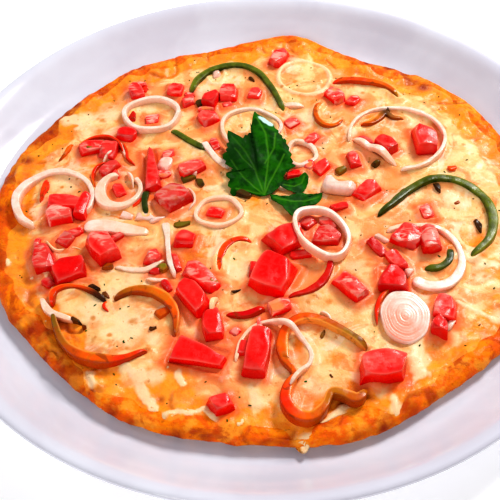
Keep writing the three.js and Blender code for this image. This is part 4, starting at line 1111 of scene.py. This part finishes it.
def cheese():
    """The melted layer. Gives the places where nothing lies on it."""
    bm = started("golden", "pale", "juice", "scorch_and_shade", "toasted")
    _, share, angle = disc(bm, CHEESE_CUTS)
    limit = cheese_radius(angle)
    radius = share * limit
    x, y = PIZZA_CENTRE[0] + radius * np.cos(angle), PIZZA_CENTRE[1] + radius * np.sin(angle)
    flat = np.column_stack((x, y))
    depth = limit - radius

    wet = np.full(len(x), 1e6)
    for one in [*itertools.chain(*TOMATOES.values()), *TOMATO_BITS, *TOMATO_SCRAPS]:
        wet = np.minimum(wet, chunk_distance(x, y, one))
    near = wet.copy()
    for one in ONION_HEART:
        near = np.minimum(near, chunk_distance(x, y, one))
    strips = [*GREEN_PEPPERS.values(), *ORANGE_PEPPERS.values(), *[s[:3] for s in ONION_STRIPS.values()]]
    strips += [s[1:4] for s in BAKED_STRIPS]
    strips += [(r[3], 0, ring_path(*r[:4])) for n, r in ONION_RINGS.items() if n != "onion_ring_front"]
    for wall, _, path in strips:
        near = np.minimum(near, line_distance(x, y, spline(path, 3)) - wall / 2)

    run = np.zeros(len(x))
    for width, path in CREAM_RUNS:
        wobble = 0.95 + 0.5 * grain(flat, 5, 31.0) + 0.45 * grain(flat, 1.8, 38.0)
        run = np.maximum(run, ramp(line_distance(x, y, path), width * 0.75 * wobble, width * 0.15))
    hidden = np.zeros(len(x))
    for hx, hy, long, wide, high in HIDDEN_RINGS:
        off = (np.hypot((x - hx) / long, (y - hy) / wide) - 1) * (long + wide) / 2
        hidden = hidden + high * bell(off, 1.2)
    body = cheese_top(x, y) + 0.5 * lumps(flat, 15, 21.0) + 0.2 * lumps(flat, 6, 22.0)
    body = body + 0.06 * grain(flat, 1.6, 23.0) + hidden
    hollow = -0.5 * ramp(lumps(flat, 18, 24.0), 0.15, 0.6)
    climb = 1.3 + 1.1 * grain(flat, 11, 25.0)
    body = body + hollow + climb * bell(np.maximum(near, 0), 2.0) - 1.2 * ramp(near, -0.3, -1.6)
    film = 0.35 * ramp(depth, 0, 6) - 0.6 * ramp(depth, 1.5, 0)
    thin = crust_top(x, y) + film + 0.6 * run
    w = ramp(depth, 4, 20)
    z = thin * (1 - w) + (body + 0.4 * run) * w
    golden = patches(x, y, GOLDEN)
    golden = np.clip(golden + 0.35 * lumps(flat, 8, 26.0), 0, 1) * ramp(golden, 0.02, 0.3)
    outer = depth + 5 * lumps(flat, 12, 28.0) + 2 * grain(flat, 3.5, 35.0)
    golden = np.maximum(golden, ramp(outer, 15, 6))
    golden = np.maximum(golden, ramp(depth, 7, 2))
    pale = patches(x, y, CREAM)
    pale = np.clip(pale + 0.2 * lumps(flat, 6, 27.0), 0, 1) * ramp(pale, 0.05, 0.4)
    pale = np.maximum(pale, run * (0.8 + 0.3 * grain(flat, 3, 36.0)))
    pale = np.maximum(pale, 0.85 * np.clip(hidden, 0, 1))
    golden = golden * (1 - pale)
    juice = np.clip(bell(np.maximum(wet, 0), 3.2) + 0.25 * lumps(flat, 9, 29.0), 0, 1)
    juice = np.maximum(juice, patches(x, y, JUICY) * ramp(lumps(flat, 10, 41.0), -0.3, 0.3))
    move(bm.verts, x, y, z)
    # Painted shade in the creases of the baked edge, and random browning of it
    scorch_and_shade = 0.7 * creases(x, y) * golden + 0.6 * golden * ramp(lumps(flat, 11, 37.0), 0.35, 0.7)
    scorch_and_shade = np.maximum(scorch_and_shade, patches(x, y, SCORCHED) * ramp(depth, 14, 4))
    toasted = patches(x, y, TOASTED) * (1 + 0.5 * grain(flat, 1.5, 39.0))
    paint(bm, bm.verts, {"golden": np.clip(golden, 0, 1), "pale": pale, "juice": juice, "scorch_and_shade": scorch_and_shade,
                         "toasted": toasted})
    open_cheese = (near > 1.5) & (share < 0.97)
    border = [e for e in bm.edges if e.is_boundary]
    skirt = bmesh.ops.extrude_edge_only(bm, edges=border)["geom"]
    for vert in (g for g in skirt if isinstance(g, bmesh.types.BMVert)):
        offset = Vector((vert.co.x - PIZZA_CENTRE[0], vert.co.y - PIZZA_CENTRE[1], 0))
        vert.co -= offset * 0.03
        vert.co.z = CHEESE_FOOT
    bmesh.ops.holes_fill(bm, edges=[g for g in skirt if isinstance(g, bmesh.types.BMEdge)], sides=0)
    bmesh.ops.recalc_face_normals(bm, faces=bm.faces)
    finish(bm, "melted_cheese", CHEESE, "cheese", ("cheese",))
    return np.column_stack((x, y, z))[open_cheese]


# Making the toppings

CHUNK_LAYERS = ("flesh", "edge", "dark", "up")
STRIP_LAYERS = ("across", "up", "tint", "dark", "clear")
# How much of the cheese shows through each onion piece, along it
CLEAR = {
    "onion_ring_small": (0.55,),
    "onion_ring_leaf": (0.4,),
    "onion_ring_back": (0.35,),
    "onion_ring_far": (0.15,),
    "onion_ring_front": (0.1,),
    "onion_ring_left": (0.1, 0.2, 0.3, 0.2, 0.1, 0.3),
    "onion_twist": (0.5, 0.4, 0.5, 0.3),
    "onion_ring_right": (0.2, 0.2, 0.1, 0.3, 0.6),
    "onion_arc": (0.1, 0.1, 0.2, 0.5, 0.6),
    "onion_band": (0.1, 0.4, 0.6),
    "onion_stalk": (0.3, 0.1, 0.2),
    "onion_fork": (0.1, 0.4),
    "onion_thread": (0.8, 0.7, 0.4, 0.2, 0.2, 0.5),
}
CLEAR_THREAD = (0.5, 0.3, 0.5)
# Finish and slot of each kind of topping
KINDS = {
    "cheese": (CHEESE, "cheese"), "tomato": (TOMATO, "tomato"), "green": (GREEN, "green_pepper"),
    "pepper": (ORANGE, "orange_pepper"), "onion": (ONION, "onion"),
}


def chunks(name, kind, parts, layers=CHUNK_LAYERS, nodes=(), levels=1, **how):
    """One piece made of cut chunks"""
    bm = started(*layers)
    for one in parts:
        chunk(bm, *one, **how)
    finish(bm, name, *KINDS[kind], nodes, levels)


def cut_strip(name, kind, shape, values, **how):
    """A strip that stands for its solid"""
    bm = started(*STRIP_LAYERS)
    strip(bm, *shape, values=values, widths=SWELL.get(name, (1, 1)), **how)
    finish(bm, "cut_" + name, *KINDS[kind], (name,), levels=1)


def loose_strips(name, kind, table, layers, values, widths, **how):
    """All the strips of one kind in a table, as one piece"""
    bm = started(*layers)
    for kind_of, *shape in table:
        if kind_of == kind:
            strip(bm, *shape, values=values, widths=widths, tip=3, **how)
    finish(bm, name, *KINDS[kind], levels=1)


def tomatoes():
    for name, parts in TOMATOES.items():
        chunks("cut_" + name, "tomato", parts, nodes=(name,))
    chunks("small_tomato_dice", "tomato", TOMATO_BITS, steps=(11, 10, 6))
    chunks("tomato_scraps", "tomato", TOMATO_SCRAPS, steps=(10, 8, 5), edge=0.8, facets=5, ragged=0.7)


def peppers():
    for name, shape in GREEN_PEPPERS.items():
        cut_strip(name, "green", shape, {"dark": GREEN_DARK[name]}, tip=3)
    for name, shape in ORANGE_PEPPERS.items():
        values = {"tint": PEPPER_TINT[name], "dark": PEPPER_BURNT.get(name, (0, 0))}
        cut_strip(name, "pepper", shape, values, tip=4)


def onions():
    for name, shape in ONION_RINGS.items():
        bm = started(*STRIP_LAYERS)
        ring(bm, *shape, clear=CLEAR[name][0])
        finish(bm, "cut_" + name, *KINDS["onion"], (name,), levels=1)
    for name, shape in ONION_STRIPS.items():
        cut_strip(name, "onion", shape, {"clear": CLEAR[name]}, sides=(8, 5))


def baked_strips():
    for kind, values in (("pepper", {"tint": (1, 1)}), ("onion", {"clear": CLEAR_THREAD})):
        loose_strips(f"baked_{kind}_strips", kind, BAKED_STRIPS, STRIP_LAYERS, values, (0.6, 1, 1, 0.7))


def small_pieces():
    """The curled onion heart, the bits of pepper and the pale bits of onion"""
    tinted = (*CHUNK_LAYERS, "tint")
    chunks("cut_onion_heart", "onion", ONION_HEART, tinted, ("onion_heart",), 2, edge=6.0, facets=0,
           more={"tint": 0.12}, notch=0.28)
    bm = started(*tinted)
    for x, y, long, wide, high, turn, tint, dark in BITS:
        chunk(bm, x, y, long, wide, high * 0.85, turn, 0.5, dark=dark, steps=(8, 7, 5), more={"tint": tint},
              facets=5, ragged=0.7)
    finish(bm, "pepper_bits", *KINDS["pepper"], levels=1)
    chunks("pale_onion_bits", "onion", PALE_BITS, tinted, steps=(10, 9, 5), edge=1.5, more={"tint": 0.3},
           facets=4, ragged=0.8)


def threads():
    for kind, tint in (("cheese", (0.6, 0.85, 0.8)), ("onion", (0, 0)), ("pepper", (0.6, 0.85, 0.8))):
        values = {"pale": (0.8, 0.8), "tint": tint, "clear": CLEAR_THREAD}
        loose_strips(f"thin_{kind}_threads", kind, THREADS, (*STRIP_LAYERS, "pale"), values,
                     (0.5, 1, 0.9, 0.4), sides=(4, 4))


FLAKES = 110


def herb_flakes(places):
    """Dried herb on the cheese: thin flakes that lie on it"""
    draw = np.random.default_rng(635)
    places = places[draw.integers(0, len(places), FLAKES)]
    bm = started("vein", "dark", "glint")
    for x, y, z in places:
        long, wide, turn = draw.uniform(0.3, 0.85), draw.uniform(0.2, 0.4), draw.uniform(0, math.tau)
        shade = draw.uniform(0, 0.8)

        def rule(grid):
            u, v, t = grid.T
            px, py = u * long * (1 - 0.3 * v * v), v * wide * (1 - 0.4 * u * u)
            px, py = turned(px, py, turn)
            return np.column_stack((x + px, y + py, z + 0.1 + 0.14 * t)), {"dark": np.full(len(u), shade)}

        block(bm, (2, 2, 1), rule)
    finish(bm, "dried_herb_flakes", LEAF, "parsley")


def onion_slice():
    """A slice across a small onion: its skins stand up as low steps"""
    (x, y), (long, wide), height, slope = ONION_SLICE
    share = np.linspace(0, 1, 60)
    skins = 0.05 * np.abs(np.sin(share * math.pi * 5)) ** 0.6 + 0.02 * np.sin(share * 55)
    bm = started("across", "up", "tint")
    profile = [(0, -SINK), (0.98, -SINK), (1.0, 0), (1.0, height * 0.7)]
    steps = zip(share[::-1] * 0.97, skins[::-1])
    profile += [(s, height * (0.85 - 0.06 * s) + k * ramp(s, 1.0, 0.93)) for s, k in steps]
    lathe(bm, profile, 96, 0.0001)
    layers = {key: bm.verts.layers.float[key] for key in ("across", "up", "tint")}
    for vert in bm.verts:
        px, py, pz = vert.co
        radius, angle = math.hypot(px, py), math.atan2(py, px)
        vert[layers["across"]] = radius * 1.9
        rim = 0.5 + 0.5 * math.cos(angle - 1.0)
        inside = min(1, max(0, (1.0 - 0.14 * rim - radius) / 0.05))
        vert[layers["tint"]] = inside * (0.55 + 0.16 * math.sin(radius * 21) - 0.4 * math.cos(angle - 1.0))
        vert[layers["up"]] = 1 if pz > 2 else 0.5
        wobble = 1 + 0.02 * math.sin(3 * angle + 1) + 0.012 * math.sin(7 * angle)
        vert.co = (x + px * long * wobble, y + py * wide * wobble,
                   pz + slope[0] * px * long + slope[1] * py * wide + float(cheese_top(x, y)))
    finish(bm, "cut_onion_slice", ONION, "onion", ("onion_slice",))


# Parsley

# How far away a point raised by 1 mm seems to move, since the outlines are as seen from the camera
SIGHT_SHIFT = 0.87


def leaf_lift(x, y):
    rise = 6.5 * (1 - np.exp(-(((y - 4) / 19) ** 2)))
    return 1.8 + rise + 0.5 * np.sin(x / 4) * np.cos(y / 7) - 0.03 * np.abs(x)


# Outline of the blade, then the middle and outline of its two small side blades
BLADE = (
    (-2.2, 68.5), (-0.5, 66), (1, 64.5), (5, 60), (7.3, 57.5), (8, 54.5), (9.8, 52.5), (9.6, 50.5),
    (11.5, 48.5), (11.4, 46.4), (13.4, 44), (13.2, 42), (14.7, 39.5), (14.3, 37.4), (15.8, 35),
    (15.0, 33), (16.2, 30.5), (15.4, 29.4), (17.4, 27.3), (15, 26), (12.5, 23.5), (11, 20.5),
    (10.5, 17.5), (9.3, 14), (6.5, 11), (4.2, 8.5), (1.5, 7.2), (-1.8, 7.6), (-4, 9), (-6.5, 10.6),
    (-9, 11.6), (-11.8, 11.2), (-14.6, 8.9), (-16.2, 11.6), (-15.5, 14.3), (-17.2, 15.6), (-16.9, 17.6),
    (-15.8, 18.8), (-17.9, 21.2), (-17.8, 24.2), (-15.6, 26.2), (-11.5, 25.9), (-14.2, 27.6),
    (-18.4, 31.2), (-17.8, 32.9), (-19.4, 35), (-19.5, 37.6), (-17.2, 39.3), (-17.9, 41.2), (-16.7, 42.3),
    (-17.5, 45.2), (-15.9, 46.2), (-16.7, 49), (-17, 52.3), (-16.4, 55.4), (-13, 53), (-8.8, 48.9),
    (-7.5, 51.6), (-6.6, 51), (-5.4, 52.9), (-4.3, 52.6), (-4.3, 56), (-4.8, 60), (-3.8, 60.7),
    (-3.4, 64.5),
)
SIDE_BLADES = (
    ((17.5, 13.5), (
        (10, 18.2), (13, 17.4), (16, 18.4), (18.6, 19), (20, 20.8), (21.8, 22.3), (23.4, 20.2), (23.3, 17),
        (22.4, 14), (21.2, 11), (18.6, 8.6), (14.5, 10), (11.5, 12), (9.2, 14.2))),
    ((17, 3.5), (
        (4.0, 8.6), (8, 7.3), (13, 6.6), (16, 7.8), (19, 9), (22, 7.9), (26, 7.6), (30, 9), (29.3, 5.6),
        (26.8, 2.4), (23.5, 0.9), (20, 0), (17.4, -2.2), (14.2, -6), (12, -3.4), (9.5, 0), (6.6, 2.6),
        (4, 5.4))),
)
VEINS = (
    ((1, 8), (-1.2, 18), (-4, 30), (-9, 42), (-14.5, 51)),
    ((1, 8), (2.2, 20), (4, 34), (3, 50), (-1, 63)), ((1, 8), (-4, 14), (-9.5, 22), (-15, 33)),
    ((1, 8), (3.5, 16), (8, 26), (12, 35)), ((-1, 9), (-7, 12), (-13, 13.5)),
    ((6, 6), (14, 3), (22, 3.5), (28, 6.5)), ((11, 15), (16, 13.5), (20, 16), (21.5, 20)),
    ((2, 30), (7, 40), (8, 50)), ((-3, 26), (-9, 34), (-13, 42)),
)


def blade(bm, centre, outline, segments, order):
    """A thin blade inside an outline, as a round grid whose points are drawn out to it"""
    fresh, share, angle = disc(bm, segments)
    rim = np.array(outline) - centre
    rim_angle, rim_reach = np.arctan2(rim[:, 1], rim[:, 0]), np.hypot(rim[:, 0], rim[:, 1])
    sort = np.argsort(rim_angle)
    reach = np.interp(angle, rim_angle[sort], rim_reach[sort], period=math.tau)
    x, y = centre[0] + share * reach * np.cos(angle), centre[1] + share * reach * np.sin(angle)
    seen_y = y.copy()
    for _ in range(4):
        y = seen_y - SIGHT_SHIFT * (leaf_lift(x, y) + 0.4)
    vein = np.zeros(len(x))
    for path in VEINS:
        vein = np.maximum(vein, np.interp(line_distance(x, seen_y, path), (0, 0.75), (1, 0)))
    z = cheese_top(x, y) + leaf_lift(x, y) + order
    flat = np.column_stack((x, seen_y))
    off_fold = x + 0.09 * (seen_y - 30)
    fold = ramp(off_fold, -2.6, -1.6) * ramp(seen_y, 22, 34)
    cup = 0.6 * grain(flat, 7, 31.0) + 0.22 * grain(flat, 3, 32.0)
    edge_up = 0.9 * ramp(share, 0.75, 1.0) * grain(flat, 6, 33.0)
    z = z + 1.3 * fold + cup + edge_up - 0.35 * vein
    # Painted shade: the left half of the blade darker, and a shadow along the fold
    dark = 0.55 * (1 - ramp(off_fold, -3, 1)) * ramp(seen_y, 10, 30)
    dark = dark + 0.45 * bell(off_fold + 3.2, 1.6) * ramp(seen_y, 26, 34)
    gx, gy = x - 3.5, seen_y - 60
    glint = bell(gx * 0.75 + gy * 0.72, 1.9) * bell(gx * 0.72 - gy * 0.75, 6.5)
    glint = ramp(glint + 0.25 * grain(flat, 2, 34.0), 0.45, 0.6)
    move(fresh, x, y, z)
    paint(bm, fresh, {"vein": vein, "dark": np.clip(dark, 0, 1), "glint": glint})


def parsley():
    bm = started("vein", "dark", "glint")
    blade(bm, np.array((-2.0, 28.0)), BLADE, 130, 0.0)
    for centre, outline in SIDE_BLADES:
        blade(bm, np.array(centre), outline, 44, -0.25)
    piece = finish(bm, "parsley_blades", LEAF, "parsley", ("parsley_leaf",))
    thick = piece.modifiers.new("thick", "SOLIDIFY")
    thick.thickness = 0.45 * MM
    thick.offset = -1


plate()
crust()
open_cheese = cheese()
tomatoes()
peppers()
onions()
baked_strips()
small_pieces()
threads()
onion_slice()
herb_flakes(open_cheese)
parsley()


# Studio

# Lamps: name, place in metres, size, power and tint
LAMPS = (
    ("window", (0.5, 0.55, 0.8), 0.36, 11.0, (1, 0.98, 0.95)),
    ("side", (-0.9, 0.25, 0.7), 0.4, 1.6, (0.95, 0.97, 1)),
    ("front", (-0.25, -0.9, 0.55), 0.5, 3.0, (1, 0.98, 0.96)),
)
# The camera: degrees that it looks down and is turned, distance, shift from the middle, and the
# focal length in pixels of an image that is 500 pixels wide
LOOK_DOWN = 49.09
ROLL = -2.0
DISTANCE = 500
SHIFT_LEFT = 7.2
SHIFT_DOWN = 11.1
FOCAL_PIXELS = 986.3
IMAGE_PIXELS = 500
SENSOR = 36


def studio():
    floor = bmesh.new()
    bmesh.ops.create_circle(floor, cap_ends=True, segments=96, radius=10)
    mesh = bpy.data.meshes.new("studio_floor")
    floor.to_mesh(mesh)
    floor.free()
    made, _, shader = blank("studio_white")
    shader.inputs["Base Color"].default_value = (0.95, 0.95, 0.95, 1)
    shader.inputs["Roughness"].default_value = 0.9
    shader.inputs["Emission Color"].default_value = (1, 1, 1, 1)
    shader.inputs["Emission Strength"].default_value = 0.25
    mesh.materials.append(made)
    ground = bpy.data.objects.new("studio_floor", mesh)
    bpy.context.scene.collection.objects.link(ground)

    world = bpy.data.worlds.new("soft_white")
    bpy.context.scene.world = world
    world.use_nodes = True
    world.node_tree.nodes["Background"].inputs["Color"].default_value = (1.0, 0.98, 1.0, 1)
    world.node_tree.nodes["Background"].inputs["Strength"].default_value = 0.3

    for name, place, size, power, tint in LAMPS:
        lamp = bpy.data.lights.new(name, "AREA")
        lamp.shape = "DISK"
        lamp.size = size
        lamp.energy = power
        lamp.color = tint
        light = bpy.data.objects.new(name, lamp)
        light.location = place
        light.rotation_euler = (-Vector(place)).to_track_quat("-Z", "Y").to_euler()
        bpy.context.scene.collection.objects.link(light)

    elevation, roll = math.radians(LOOK_DOWN), math.radians(ROLL)
    back = Vector((0, -math.cos(elevation), math.sin(elevation)))
    up = Vector((0, math.sin(elevation), math.cos(elevation)))
    right = Vector((1, 0, 0))
    place = back * DISTANCE - right * SHIFT_LEFT - up * SHIFT_DOWN
    side = right * math.cos(roll) + up * math.sin(roll)
    top = up * math.cos(roll) - right * math.sin(roll)
    view = bpy.data.cameras.new("view")
    view.sensor_width = SENSOR
    view.lens = FOCAL_PIXELS / IMAGE_PIXELS * SENSOR
    view.clip_start = 0.01
    camera = bpy.data.objects.new("view", view)
    camera.matrix_world = Matrix.Translation(place * MM) @ Matrix((side, top, back)).transposed().to_4x4()
    bpy.context.scene.collection.objects.link(camera)
    bpy.context.scene.camera = camera
    bpy.context.scene.view_settings.view_transform = "Standard"
    bpy.context.scene.view_settings.look = "Medium High Contrast"


studio()
